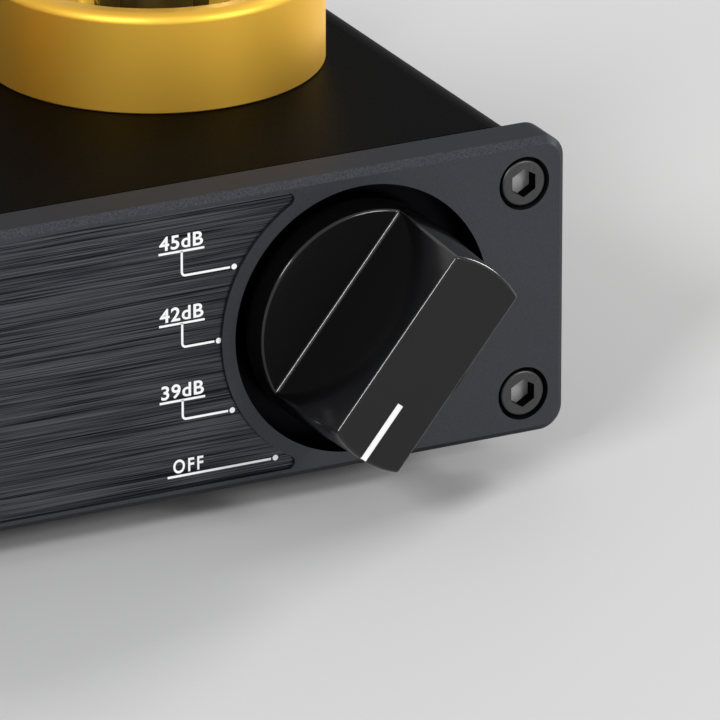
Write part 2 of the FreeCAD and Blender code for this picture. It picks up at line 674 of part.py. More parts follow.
def socket_contacts(x):
    """Sprung sleeves that grip the tube's pins, with tails down to the board."""
    contacts = []
    for px, py in pin_places(x):
        bottom = SOCKET_Z - CONTACT_L
        contact = rod_z(CONTACT_R, px, py, bottom, SOCKET_Z - 2 * SEAT_GAP)
        contact = contact.fuse(rod_z(TAIL_R, px, py, BOARD_TOP, bottom))
        pin_bottom = SOCKET_Z - PIN_L - SEAT_GAP
        contacts.append(contact.cut(rod_z(PIN_R + RUN_FIT, px, py, pin_bottom, SOCKET_Z)))
    return group(contacts)


def tube_glass(x):
    """Closed glass envelope with a flat stem, a domed top and a drawn tip."""
    base_r = GLASS_R - GLASS_BASE_EDGE
    tip_z = GLASS_H - TIP_END_R
    inner_r = GLASS_R - GLASS_WALL
    outline = [
        (0, 0),
        (base_r, 0),
        quarter(base_r, GLASS_BASE_EDGE, GLASS_BASE_EDGE, -90, 0),
        (GLASS_R, SHOULDER_H),
        bowed((GLASS_R, SHOULDER_H), (TIP_R, SHOULDER_H + DOME_H), DOME_BOW),
        (TIP_END_R, tip_z),
        quarter(0, tip_z, TIP_END_R, 0, 90),
        (0, SHOULDER_H + DOME_H - GLASS_WALL),
        bowed((0, SHOULDER_H + DOME_H - GLASS_WALL), (inner_r, SHOULDER_H), -DOME_BOW),
        (inner_r, GLASS_STEM),
        (0, GLASS_STEM),
    ]
    return turned(outline, x, TUBE_Y, GLASS_Z)


def tube_pins(x):
    return group([rod_z(PIN_R, px, py, GLASS_Z - PIN_L, GLASS_Z) for px, py in pin_places(x)])


def tube_micas(x):
    """Two mica discs with holes for the rods and the cathode."""
    discs = []
    for z in MICA_HEIGHTS:
        disc = rod_z(MICA_R, x, TUBE_Y, z, z + MICA_T)
        for side in (-1, 1):
            disc = disc.cut(rod_z(ROD_R + RUN_FIT, x + side * ROD_X, TUBE_Y, z, z + MICA_T))
        discs.append(disc.cut(rod_z(CATHODE_R + RUN_FIT, x, TUBE_Y, z, z + MICA_T)))
    return group(discs)


def tube_anode(x):
    """Thin pressed plate: a round box with a fin on each side."""
    z0 = MICA_HEIGHTS[0] + MICA_T
    z1 = MICA_HEIGHTS[1]
    plate = pipe_z(ANODE_R, ANODE_R - ANODE_T, x, TUBE_Y, z0, z1)
    for side in (-1, 1):
        for y_side in (-1, 1):
            x_span = (x + side * (ANODE_R - ANODE_T), x + side * (ANODE_R + ANODE_FIN))
            y = TUBE_Y + y_side * (ROD_R + RUN_FIT + ANODE_T / 2)
            plate = plate.fuse(box(x_span, (y - ANODE_T / 2, y + ANODE_T / 2), (z0, z1)))
    return plate.removeSplitter()


def tube_rods(x):
    """Support rods from the stem up through both micas."""
    return group([rod_z(ROD_R, x + side * ROD_X, TUBE_Y, STEM_Z, ROD_TOP) for side in (-1, 1)])


def tube_cathode(x):
    """Coated cathode sleeve on the tube's axis."""
    return pipe_z(CATHODE_R, CATHODE_BORE_R, x, TUBE_Y, STEM_Z, ROD_TOP)


def tube_getter(x):
    """Ring on a stalk above the upper mica."""
    z0 = MICA_HEIGHTS[1] + MICA_T
    ring = Part.makeTorus(GETTER_R, GETTER_WIRE_R, V(x, TUBE_Y, z0 + GETTER_LIFT), V(0, 0, 1))
    return ring.fuse(rod_z(GETTER_STALK_R, x, TUBE_Y - GETTER_R, z0, z0 + GETTER_LIFT))


# Board and its parts
def main_board():
    """Board the full width of the slots, notched round the switch."""
    half = INNER_HALF - SLIP_FIT
    y_span = (PANEL_BACK_Y + BOARD_END_GAP, SLEEVE_END_Y - BOARD_END_GAP)
    board = box((-half, half), y_span, (BOARD_Z, BOARD_TOP))
    notch_half = SWITCH_W / 2 + NOTCH_GAP
    notch_y = PANEL_BACK_Y + SWITCH_COVER_T + SWITCH_L + NOTCH_GAP
    notch = box((KNOB_X - notch_half, KNOB_X + notch_half), (PANEL_BACK_Y, notch_y), (BOARD_Z, BOARD_TOP))
    return board.cut(notch)


def capacitor_can(x, r, headroom):
    """Electrolytic can with a rolled groove near its foot."""
    h = CEILING_Z - headroom - BOARD_TOP
    outline = [
        (0, 0),
        (r, 0),
        (r, CAN_GROOVE_Z - CAN_GROOVE_HALF),
        (r - CAN_GROOVE_D, CAN_GROOVE_Z),
        (r, CAN_GROOVE_Z + CAN_GROOVE_HALF),
        (r, h - CAN_EDGE),
        (r - CAN_EDGE, h),
        (0, h),
    ]
    return turned(outline, x, TUBE_Y + COLLAR_R + CAN_BACK, BOARD_TOP)


def electrolytic_capacitors():
    """A small can behind each tube and a large one nearer the middle."""
    cans = []
    for side in (-1, 1):
        small_x = TUBE_X - SMALL_CAN_INSET
        cans.append(capacitor_can(side * small_x, SMALL_CAN_R, SMALL_CAN_HEADROOM))
        cans.append(capacitor_can(side * (small_x - CAN_PITCH), CAN_R, CAN_HEADROOM))
    return group(cans)


def film_capacitors():
    """Two blocks on the inner side of each socket."""
    blocks = []
    for side in (-1, 1):
        outer_x = TUBE_X - SOCKET_R - FILM_GAP
        for i in range(2):
            y = TUBE_Y - FILM_FRONT + FILM_PITCH * i
            x_span = (side * outer_x, side * (outer_x - FILM_W))
            blocks.append(box(x_span, (y, y + FILM_L), (BOARD_TOP, BOARD_TOP + FILM_H)))
    return group(blocks)


def op_amps():
    """Two eight-pin amplifier packages."""
    chips = []
    for side in (-1, 1):
        x = side * (TUBE_X + CHIP_OUT)
        back_y = SLEEVE_END_Y - REGULATOR_FRONT - CHIP_GAP
        x_span = (x - CHIP_W / 2, x + CHIP_W / 2)
        chips.append(box(x_span, (back_y - CHIP_L, back_y), (BOARD_TOP, BOARD_TOP + CHIP_H)))
    return group(chips)


def voltage_regulators():
    """Two upright regulators, each a moulded body with a metal tab."""
    tab_y = SLEEVE_END_Y - REGULATOR_FRONT + REGULATOR_T
    hole_z = BOARD_TOP + TAB_H - TAB_HOLE_DROP
    parts = []
    for i in range(2):
        x = REGULATOR_SIDE - INNER_HALF + REGULATOR_PITCH * i
        x_span = (x - REGULATOR_W / 2, x + REGULATOR_W / 2)
        body = box(x_span, (tab_y - REGULATOR_T, tab_y), (BOARD_TOP, BOARD_TOP + REGULATOR_H))
        tab = box(x_span, (tab_y, tab_y + TAB_T), (BOARD_TOP, BOARD_TOP + TAB_H))
        tab = tab.cut(rod_y(TAB_HOLE_R, x, hole_z, tab_y, tab_y + TAB_T))
        parts.append(body.fuse(tab))
    return group(parts)


def resistors():
    """Rows of small film resistors on the outer side of each socket."""
    bodies = []
    for side in (-1, 1):
        middle = side * (TUBE_X + SOCKET_R + RESISTOR_GAP + RESISTOR_L / 2)
        for i in range(RESISTOR_COUNT):
            y = TUBE_Y - RESISTOR_FRONT + RESISTOR_PITCH * i
            start = V(middle - RESISTOR_L / 2, y, BOARD_TOP + RESISTOR_R)
            bodies.append(Part.makeCylinder(RESISTOR_R, RESISTOR_L, start, V(1, 0, 0)))
    return group(bodies)


# Rear connections
def jack_block(middle):
    """Moulded block for one pair of jacks, standing on the board."""
    half = JACK_PITCH / 2 + JACK_RING_R
    y_span = (SLEEVE_END_Y - JACK_BLOCK_L, SLEEVE_END_Y)
    return box((middle - half, middle + half), y_span, (BOARD_TOP, MID_Z + JACK_BLOCK_TOP))


def jack_shells(middle):
    """Plated outer shells of one pair of jacks, with a narrower neck through ring and plate."""
    barrel_y = REAR_Y + JACK_RING_T + JACK_UNDERCUT
    bore_r = JACK_R - JACK_WALL
    shells = []
    for side in (-1, 1):
        x = middle + side * JACK_PITCH / 2
        neck = pipe_y(JACK_NECK_R, bore_r, x, MID_Z, SLEEVE_END_Y, barrel_y)
        barrel = pipe_y(JACK_R, bore_r, x, MID_Z, barrel_y, REAR_Y + JACK_REACH)
        shells.append(neck.fuse(barrel).removeSplitter())
    return group(shells)


def jack_insulators(colour):
    """Coloured ring and core of each jack of one colour."""
    pieces = []
    core_r = JACK_R - JACK_WALL - RUN_FIT
    neck_hole = JACK_NECK_R + RUN_FIT
    core_end = REAR_Y + JACK_REACH - JACK_CORE_SUNK
    for x, name in jack_places():
        if name == colour:
            spigot = pipe_y(JACK_SPIGOT_R, neck_hole, x, MID_Z, SLEEVE_END_Y, REAR_Y)
            ring = pipe_y(JACK_RING_R, neck_hole, x, MID_Z, REAR_Y, REAR_Y + JACK_RING_T)
            pieces.append(spigot.fuse(ring).removeSplitter())
            pieces.append(pipe_y(core_r, JACK_CORE_HOLE + RUN_FIT, x, MID_Z, SLEEVE_END_Y, core_end))
    return group(pieces)


def jack_contacts():
    """Centre contact sleeves of the four jacks."""
    end = REAR_Y + JACK_REACH - 2 * JACK_CORE_SUNK
    inner = JACK_CORE_HOLE - JACK_CONTACT_WALL
    return group([pipe_y(JACK_CORE_HOLE, inner, x, MID_Z, SLEEVE_END_Y, end) for x, colour in jack_places()])


def ground_post():
    """Threaded stud with a hexagonal head behind the rear plate."""
    head = hex_y(POST_HEAD_FLATS, POST_X, MID_Z, SLEEVE_END_Y - POST_HEAD_T, SLEEVE_END_Y)
    return head.fuse(rod_y(POST_R, POST_X, MID_Z, SLEEVE_END_Y, REAR_Y + POST_REACH))


def ground_lock_nut():
    nut = hex_y(POST_HEAD_FLATS, POST_X, MID_Z, REAR_Y, REAR_Y + LOCK_NUT_T)
    return nut.cut(rod_y(POST_R + RUN_FIT, POST_X, MID_Z, REAR_Y, REAR_Y + LOCK_NUT_T))


def ground_washer():
    y0 = REAR_Y + LOCK_NUT_T + SEAT_GAP
    return pipe_y(THUMB_WASHER_R, POST_R + RUN_FIT, POST_X, MID_Z, y0, y0 + THUMB_WASHER_T)


def ground_thumb_nut():
    """Round nut with grip grooves along its side."""
    y0 = REAR_Y + LOCK_NUT_T + 2 * SEAT_GAP + THUMB_WASHER_T
    nut = pipe_y(THUMB_R, POST_R + RUN_FIT, POST_X, MID_Z, y0, y0 + THUMB_L)
    for i in range(THUMB_GROOVES):
        a = 2 * math.pi * i / THUMB_GROOVES
        x = POST_X + THUMB_R * math.cos(a)
        z = MID_Z + THUMB_R * math.sin(a)
        x_span = (x - THUMB_GROOVE_D, x + THUMB_GROOVE_D)
        cutter = box(x_span, (y0, y0 + THUMB_L), (z - THUMB_GROOVE_D, z + THUMB_GROOVE_D))
        nut = nut.cut(cutter.rotated(V(x, 0, z), V(0, 1, 0), 45 - math.degrees(a)))
    return nut


def power_jack():
    """Moulded power socket with a round nose through the rear plate."""
    half = POWER_W / 2
    z_span = (BOARD_TOP, MID_Z + POWER_H / 2)
    body = box((POWER_X - half, POWER_X + half), (SLEEVE_END_Y - POWER_L, SLEEVE_END_Y), z_span)
    body = body.fuse(rod_y(POWER_NOSE_R, POWER_X, MID_Z, SLEEVE_END_Y, REAR_Y))
    return body.cut(rod_y(POWER_BORE_R, POWER_X, MID_Z, REAR_Y - POWER_BORE_L, REAR_Y))


def power_pin():
    return rod_y(POWER_PIN_R, POWER_X, MID_Z, REAR_Y - POWER_BORE_L, REAR_Y - POWER_PIN_SUNK)


def build():
    """Every node of the preamplifier by name."""
    nodes = {
        "front_plate": front_plate(),
        "chassis_sleeve": sleeve(),
        "rear_plate": rear_plate(),
        "front_screws": group([cap_screw(x, z) for x, z in screw_places()]),
        "rear_screws": group([button_screw(x, z) for x, z in screw_places()]),
        "rubber_feet": group([foot(x, y) for x, y in foot_places()]),
        "foot_screws": group([foot_screw(x, y) for x, y in foot_places()]),
        "knob_body": knob(),
        "knob_pointer": pointer_strip(BAR_Y + POINTER_SUNK, BAR_END_R - POINTER_SUNK),
        "knob_insert": knob_insert(),
        "switch_shaft": switch_shaft(),
        "switch_rotor": switch_rotor(),
        "switch_cover": switch_cover(),
        "switch_housing": switch_housing(),
        "switch_terminals": switch_terminals(),
        "switch_washer": switch_washer(),
        "switch_nut": switch_nut(),
        "main_board": main_board(),
        "electrolytic_capacitors": electrolytic_capacitors(),
        "film_capacitors": film_capacitors(),
        "op_amps": op_amps(),
        "voltage_regulators": voltage_regulators(),
        "resistors": resistors(),
        "input_jack_block": jack_block(INPUT_X),
        "output_jack_block": jack_block(OUTPUT_X),
        "input_jack_shells": jack_shells(INPUT_X),
        "output_jack_shells": jack_shells(OUTPUT_X),
        "jack_insulators_white": jack_insulators("white"),
        "jack_insulators_red": jack_insulators("red"),
        "jack_contacts": jack_contacts(),
        "ground_post": ground_post(),
        "ground_lock_nut": ground_lock_nut(),
        "ground_washer": ground_washer(),
        "ground_thumb_nut": ground_thumb_nut(),
        "power_jack": power_jack(),
        "power_pin": power_pin(),
    }
    tube_pieces = {
        "collar": collar,
        "ring_nut": ring_nut,
        "socket": tube_socket,
        "socket_contacts": socket_contacts,
        "tube_glass": tube_glass,
        "tube_pins": tube_pins,
        "tube_micas": tube_micas,
        "tube_anode": tube_anode,
        "tube_rods": tube_rods,
        "tube_cathode": tube_cathode,
        "tube_getter": tube_getter,
    }
    for side, x in TUBE_SIDES.items():
        for piece, make in tube_pieces.items():
            nodes[side + "_" + piece] = make(x)
    return nodes


os.makedirs("parts", exist_ok=True)
for node_name, node_shape in build().items():
    save(node_name, node_shape)
    volume = sum(solid.Volume for solid in node_shape.Solids)
    print(node_name, len(node_shape.Solids), round(volume, 1), node_shape.isValid())
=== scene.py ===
# %% [markdown]
# A small phono preamp with two tubes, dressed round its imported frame.
# The frame holds every piece at its real size and place, so this lesson only
# adds finer shapes where the eye comes close, and a finish for every surface.

# %% Load the frame
import math

import bpy
from mathutils import Matrix, Vector


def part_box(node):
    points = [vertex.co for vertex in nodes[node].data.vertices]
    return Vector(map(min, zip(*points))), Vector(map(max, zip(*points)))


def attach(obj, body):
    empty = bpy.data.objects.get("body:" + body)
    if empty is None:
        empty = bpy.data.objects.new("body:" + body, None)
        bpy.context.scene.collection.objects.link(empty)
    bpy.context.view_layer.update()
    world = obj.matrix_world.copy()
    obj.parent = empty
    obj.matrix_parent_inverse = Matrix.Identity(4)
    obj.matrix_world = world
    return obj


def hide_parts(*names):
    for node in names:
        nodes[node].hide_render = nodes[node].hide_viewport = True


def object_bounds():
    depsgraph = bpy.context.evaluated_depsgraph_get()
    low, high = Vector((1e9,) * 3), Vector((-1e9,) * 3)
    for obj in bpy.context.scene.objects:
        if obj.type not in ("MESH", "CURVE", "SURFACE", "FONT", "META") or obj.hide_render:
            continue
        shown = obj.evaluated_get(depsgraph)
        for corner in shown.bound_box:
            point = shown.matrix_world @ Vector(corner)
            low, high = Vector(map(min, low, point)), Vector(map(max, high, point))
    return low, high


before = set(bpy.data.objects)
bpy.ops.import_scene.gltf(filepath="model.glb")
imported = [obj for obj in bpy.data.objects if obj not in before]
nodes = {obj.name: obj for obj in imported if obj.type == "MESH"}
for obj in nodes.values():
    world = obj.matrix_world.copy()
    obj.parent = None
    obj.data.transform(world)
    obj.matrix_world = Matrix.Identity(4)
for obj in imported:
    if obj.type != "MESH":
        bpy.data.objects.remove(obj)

MM = 0.001
cad_low, cad_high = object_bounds()
print("nodes", len(nodes), "box", [round(v / MM, 1) for v in cad_high - cad_low])

# %% [markdown]
# The sizes that the new pieces share are read from the frame's own boxes, so
# they stay right if the frame changes. Only small finishing sizes are new.

# %% Read places from the frame
plate_low, plate_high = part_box("front_plate")
shaft_low, shaft_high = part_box("switch_shaft")
knob_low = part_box("knob_body")[0]
KNOB_AXIS = Vector(((shaft_low.x + shaft_high.x) / 2, 0, (shaft_low.z + shaft_high.z) / 2))
FACE_Y = plate_low.y
PLATE_BACK = plate_high.y
TOP_Z = plate_high.z
HALF_W = plate_high.x
print("knob axis", [round(v / MM, 2) for v in KNOB_AXIS], "face", round(FACE_Y / MM, 2))

# %% [markdown]
# The camera stands to the left of the front and a little above, far away with
# a long lens, which is how the product close-up was taken: the parallel edges
# of the case hardly converge. It aims so that the knob's well falls where it
# does in the photograph's 720 by 720 frame.

# %% Camera
CAMERA_TURN = math.radians(26.79)
CAMERA_RISE = math.radians(21.45)
CAMERA_DISTANCE = 1238.4 * MM
FRAME_SIZE = 720
FOCAL_PIXELS = 10918
SENSOR_WIDTH = 36
WELL_PIXEL = (362.42, 318.32)

to_right = Vector((math.cos(CAMERA_TURN), -math.sin(CAMERA_TURN), 0))
forward = Vector((math.sin(CAMERA_TURN) * math.cos(CAMERA_RISE),
                  math.cos(CAMERA_TURN) * math.cos(CAMERA_RISE), -math.sin(CAMERA_RISE)))
upward = to_right.cross(forward)
metres_per_pixel = CAMERA_DISTANCE / FOCAL_PIXELS
well_centre = Vector((KNOB_AXIS.x, FACE_Y, KNOB_AXIS.z))
camera_place = (well_centre - forward * CAMERA_DISTANCE
                - to_right * (WELL_PIXEL[0] - FRAME_SIZE / 2) * metres_per_pixel
                + upward * (WELL_PIXEL[1] - FRAME_SIZE / 2) * metres_per_pixel)
bpy.ops.object.camera_add(location=camera_place)
camera = bpy.context.object
camera.name = "close_up_camera"
camera.rotation_mode = "QUATERNION"
camera.rotation_quaternion = Matrix((to_right, upward, -forward)).transposed().to_quaternion()
camera.data.sensor_width = SENSOR_WIDTH
camera.data.lens = FOCAL_PIXELS / FRAME_SIZE * SENSOR_WIDTH
camera.data.clip_start = 0.1
camera.data.clip_end = 20
bpy.context.scene.camera = camera
print("lens", round(camera.data.lens, 1))

# %% [markdown]
# Colours are written as the sRGB hex values that a picture shows, and one
# function turns them into the linear values that the shader wants. A material
# starts as a plain Principled shader; what varies over the surface is added
# node by node, and what is the same all over is set on the shader itself.

# %% Start a material
def linear(hex_colour):
    """Linear RGBA from an sRGB hex colour."""
    channels = [int(hex_colour[i:i + 2], 16) / 255 for i in (1, 3, 5)]
    return [c / 12.92 if c <= 0.04045 else ((c + 0.055) / 1.055) ** 2.4 for c in channels] + [1.0]


def new_material(name, colour, metallic, roughness, **sockets):
    """A Principled material with its plain values set on the shader's own sockets."""
    material = bpy.data.materials.new(name)
    material.use_nodes = True
    shader = material.node_tree.nodes["Principled BSDF"]
    shader.inputs["Base Color"].default_value = linear(colour)
    shader.inputs["Metallic"].default_value = metallic
    shader.inputs["Roughness"].default_value = roughness
    for socket, value in sockets.items():
        shader.inputs[socket.replace("_", " ")].default_value = value
    return material


def add_node(material, kind, settings=None, **links):
    """Add one node; settings fill properties or sockets, links join sockets to outputs."""
    node = material.node_tree.nodes.new(kind)
    for key, value in (settings or {}).items():
        if hasattr(node, key):
            setattr(node, key, value)
        else:
            node.inputs[key].default_value = value
    for socket, output in links.items():
        target = int(socket[3:]) if socket.startswith("in_") else socket.replace("_", " ")
        material.node_tree.links.new(output, node.inputs[target])
    return node


def link(material, output, socket):
    """Join an output to one of the shader's sockets."""
    shader = material.node_tree.nodes["Principled BSDF"]
    material.node_tree.links.new(output, shader.inputs[socket])


print("white is", [round(v, 2) for v in linear("#ffffff")])

# %% [markdown]
# No real surface is quite even. One noise in real millimetres gives each finish
# its grain, and that same noise then shifts the colour, the roughness and the
# height a little. It reads Object coordinates, so it stays on the piece.

# %% Grain, colour, roughness and height
GRAIN_LOW = 0.3
GRAIN_HIGH = 0.7


def grain(material, size_mm, stretch=(1, 1, 1), detail=2.0):
    """Noise on object coordinates whose spots are about size_mm across."""
    place = add_node(material, "ShaderNodeTexCoord")
    scale = [s / (size_mm * MM) for s in stretch]
    mapped = add_node(material, "ShaderNodeMapping", {"Scale": scale}, Vector=place.outputs["Object"])
    return add_node(material, "ShaderNodeTexNoise", {"Scale": 1.0, "Detail": detail, "Roughness": 0.6},
                    Vector=mapped.outputs["Vector"])


def roughen(material, noise, low, high):
    """Let the roughness follow a noise, from low to high."""
    limits = {"From Min": GRAIN_LOW, "From Max": GRAIN_HIGH, "To Min": low, "To Max": high}
    mapped = add_node(material, "ShaderNodeMapRange", limits, Value=noise.outputs["Fac"])
    link(material, mapped.outputs["Result"], "Roughness")


def bump(material, height, distance_mm, strength=1.0):
    """Bump the surface by a height output, at a real depth in millimetres."""
    settings = {"Strength": strength, "Distance": distance_mm * MM}
    node = add_node(material, "ShaderNodeBump", settings, Height=height)
    link(material, node.outputs["Normal"], "Normal")


def vary(material, value, dark, light, low=GRAIN_LOW, high=GRAIN_HIGH):
    """Blend the base colour between two hex colours by a 0 to 1 output."""
    ramp = add_node(material, "ShaderNodeValToRGB", Fac=value)
    ramp.color_ramp.elements[0].position = low
    ramp.color_ramp.elements[1].position = high
    ramp.color_ramp.elements[0].color = linear(dark)
    ramp.color_ramp.elements[1].color = linear(light)
    link(material, ramp.outputs["Color"], "Base Color")


print("grain runs from", GRAIN_LOW, "to", GRAIN_HIGH)

# %% [markdown]
# The front plate is aluminium, bead blasted and then anodised dark grey. The
# beads leave fine dents about a tenth of a millimetre across, which spread the
# light evenly and give the plate its soft, dusty look with tiny speckles. The
# dye sits in the oxide, so even a low view of the case's black top stays dark:
# a grey edge tint does that, where bare metal would mirror the pale room.

# %% Anodised aluminium
EDGE_TINT = linear("#bcbcbc")


def blasted_aluminium(name, dark, light, roughness, dent_mm=0.12, depth_mm=0.006):
    """Metal under dyed oxide, with the fine dents that blasting leaves."""
    material = new_material(name, light, 1.0, roughness, Specular_Tint=EDGE_TINT)
    dents = grain(material, dent_mm)
    vary(material, dents.outputs["Fac"], dark, light)
    roughen(material, dents, roughness - 0.05, roughness + 0.06)
    bump(material, dents.outputs["Fac"], depth_mm)
    return material


plate_finish = blasted_aluminium("anodised_aluminium_blasted", "#3e3f43", "#4c4d52", 0.5)
bevel_finish = blasted_aluminium("anodised_aluminium_milled_bevel", "#38393d", "#56575c", 0.4,
                                 0.16, 0.008)
sleeve_finish = blasted_aluminium("anodised_aluminium_extruded", "#131313", "#181818", 0.48,
                                  0.2, 0.003)
rear_finish = blasted_aluminium("anodised_aluminium_sheet", "#2c2d30", "#323338", 0.5)
print("anodised finishes", plate_finish.name, bevel_finish.name, sleeve_finish.name, rear_finish.name)

# %% [markdown]
# The pocket beside the knob was brushed before it was anodised. Brushing drags
# long irregular scratches along the plate, so two noises of different width
# are stretched along X until a scratch is over a centimetre long, and their
# mean is used. A narrow colour range makes the scratches crisp. The well was
# turned on a lathe; its near-black colour is painted shade, standing in for the
# shade that falls into the deep recess round the knob.

# %% Brushed aluminium
def brushed_aluminium(name, dark, light, roughness):
    """Metal with long scratches along X."""
    material = new_material(name, light, 1.0, roughness, Anisotropic=0.4)
    coarse = grain(material, 0.14, (0.01, 1, 1), 1.0)
    fine = grain(material, 0.1, (0.006, 1, 1), 1.0)
    both = add_node(material, "ShaderNodeMath", {"operation": "ADD"}, in_0=coarse.outputs["Fac"],
                    in_1=fine.outputs["Fac"])
    mean = add_node(material, "ShaderNodeMath", {"operation": "MULTIPLY"}, in_0=both.outputs["Value"])
    mean.inputs[1].default_value = 0.5
    vary(material, mean.outputs["Value"], dark, light, 0.38, 0.62)
    bump(material, mean.outputs["Value"], 0.02)
    return material


brushed_finish = brushed_aluminium("anodised_aluminium_brushed", "#1b1c20", "#5a5b60", 0.42)
# The well's near-black colour is painted shade for the deep recess, not the plate's grey dye.
well_shade_finish = new_material("anodised_aluminium_well_painted_shade", "#0d0d10", 1.0, 0.3, Specular_Tint=EDGE_TINT)
bump(well_shade_finish, grain(well_shade_finish, 0.1, (1, 0.05, 1)).outputs["Fac"], 0.004)
print("pocket and well finishes", brushed_finish.name, well_shade_finish.name)

# %% [markdown]
# Shaping by hand is mostly picking: an operator acts on whatever is selected.
# So everything is deselected first, and the wanted edges or faces are then
# chosen by where they lie. The frame's lengths are in metres, and two places
# closer than a thousandth of a millimetre count as one.

# %% Choose what an operator acts on
CLOSE = 1e-6


def only(obj):
    """Deselect everything, then select one object and make it active."""
    bpy.ops.object.select_all(action="DESELECT")
    obj.select_set(True)
    bpy.context.view_layer.objects.active = obj
    return obj


def choose(obj, kind, wanted):
    """Enter edit mode with only the wanted vertices, edges or faces selected."""
    only(obj)
    bpy.ops.object.mode_set(mode="EDIT")
    bpy.ops.mesh.select_mode(type=kind)
    bpy.ops.mesh.select_all(action="DESELECT")
    bpy.ops.object.mode_set(mode="OBJECT")
    elements = {"VERT": obj.data.vertices, "EDGE": obj.data.edges, "FACE": obj.data.polygons}[kind]
    count = 0
    for element in elements:
        if wanted(element):
            element.select = True
            count += 1
    bpy.ops.object.mode_set(mode="EDIT")
    return count


def done():
    """Leave edit mode."""
    bpy.ops.object.mode_set(mode="OBJECT")


def ends(obj, edge):
    """The two end points of an edge."""
    return [obj.data.vertices[i].co for i in edge.vertices]


def lies_at(obj, edge, y):
    """True when both ends of an edge are at one depth."""
    return all(abs(p.y - y) < CLOSE for p in ends(obj, edge))


print("close means", CLOSE / MM, "mm")

# %% [markdown]
# Two blanks start almost every milled or turned piece here: a block and a round
# bar along Y. A Boolean then does what a cutter does, and a Bevel breaks the
# edges. Modifiers are applied at once, so what follows works on the real mesh.

# %% Blanks, cutters and edge breaks
def block(name, low, high):
    """A box from its lowest to its highest corner, with its place in its mesh."""
    bpy.ops.object.select_all(action="DESELECT")
    bpy.ops.mesh.primitive_cube_add(size=1, location=(Vector(low) + Vector(high)) / 2)
    bpy.context.object.scale = Vector(high) - Vector(low)
    bpy.ops.object.transform_apply(location=True, rotation=True, scale=True)
    bpy.context.object.name = name
    return bpy.context.object


def drum(name, radius, centre, y0, y1, sides=128, end_radius=None):
    """A cylinder or cone along Y, from y0 back to y1; end_radius is the back one."""
    bpy.ops.object.select_all(action="DESELECT")
    middle = Vector((centre.x, (y0 + y1) / 2, centre.z))
    bpy.ops.mesh.primitive_cone_add(vertices=sides, radius1=radius, radius2=end_radius or radius,
                                    depth=y1 - y0, location=middle, rotation=(-math.pi / 2, 0, 0))
    bpy.ops.object.transform_apply(location=True, rotation=True, scale=True)
    bpy.context.object.name = name
    return bpy.context.object


def combine(obj, other, operation):
    """Cut, join or intersect with another mesh, which is used up."""
    only(obj)
    tool = obj.modifiers.new("combine", "BOOLEAN")
    tool.operation = operation
    tool.solver = "EXACT"
    tool.object = other
    bpy.ops.object.modifier_apply(modifier="combine")
    bpy.data.objects.remove(other)
    return obj


def soften(obj, width, segments, angle, clamp=True):
    """Break every edge sharper than the angle by a small rounded bevel."""
    only(obj)
    tool = obj.modifiers.new("soften", "BEVEL")
    tool.width = width
    tool.segments = segments
    tool.limit_method = "ANGLE"
    tool.angle_limit = math.radians(angle)
    tool.use_clamp_overlap = clamp
    bpy.ops.object.modifier_apply(modifier="soften")


print("cutters ready")

# %% [markdown]
# What repeats is made once and copied, each copy with its own mesh. Shading
# comes last: round surfaces are smoothed, and a Weighted Normal modifier lets
# the large flat faces keep their own direction, so no bevel smears over them.

# %% Copy, join, smooth and paint
def copied(obj, shift):
    """A copy with its own mesh, with the shift put into that mesh."""
    only(obj)
    bpy.ops.object.duplicate(linked=False)
    bpy.ops.transform.translate(value=shift)
    bpy.ops.object.transform_apply(location=True, rotation=False, scale=False)
    return bpy.context.object


def joined(pieces, name):
    """Join pieces into the first one and name it."""
    bpy.ops.object.select_all(action="DESELECT")
    for piece in pieces:
        piece.select_set(True)
    bpy.context.view_layer.objects.active = pieces[0]
    bpy.ops.object.join()
    bpy.context.object.name = name
    return bpy.context.object


def smooth(obj, angle):
    """Smooth round surfaces, and let the large flat faces keep their own normals."""
    only(obj)
    bpy.ops.object.shade_smooth_by_angle(angle=math.radians(angle))
    tool = obj.modifiers.new("even", "WEIGHTED_NORMAL")
    tool.keep_sharp = True
    tool.weight = 100
    bpy.ops.object.modifier_apply(modifier="even")


def paint(obj, *materials):
    """Give an object its materials, the first one everywhere."""
    obj.data.materials.clear()
    for material in materials:
        obj.data.materials.append(material)
    for face in obj.data.polygons:
        face.material_index = 0


print("finishing helpers ready")

# %% [markdown]
# The front plate is milled from thick bar. It starts as a block of the frame's
# own size; its four corners are rounded, its front edge is bevelled at 45
# degrees, and its back edge is just broken.

# %% Front plate blank
PLATE_CORNER = 2.8 * MM
PLATE_BEVEL = 0.8 * MM
BACK_BEVEL = 0.25 * MM

plate = block("front_plate_finished", plate_low, plate_high)
choose(plate, "EDGE", lambda e: abs(ends(plate, e)[0].y - ends(plate, e)[1].y) > CLOSE)
bpy.ops.mesh.bevel(offset=PLATE_CORNER, segments=12, affect="EDGES")
done()
choose(plate, "EDGE", lambda e: lies_at(plate, e, FACE_Y))
bpy.ops.mesh.bevel(offset=PLATE_BEVEL, segments=1, affect="EDGES")
done()
choose(plate, "EDGE", lambda e: lies_at(plate, e, PLATE_BACK))
bpy.ops.mesh.bevel(offset=BACK_BEVEL, segments=1, affect="EDGES")
done()
print("plate blank", len(plate.data.polygons), "faces")

# %% [markdown]
# The shallow pocket runs from the left to an arc round the well, and its two
# thin tips are rounded by the cutter. So the cutter is shaped first: a block
# loses the arc, then each pointed tip is cut off and a small round drum is put
# in its place. The drum touches both the pocket's long side and the arc.

# %% Pocket cutter
POCKET_DEPTH = 0.4 * MM
POCKET_MARGIN = 1.25 * MM
POCKET_END = 11.0 * MM
POCKET_ARC_R = 17.7 * MM
POCKET_CORNER = 0.8 * MM
POCKET_PAST_AXIS = -2.0 * MM
REACH = 1.0 * MM

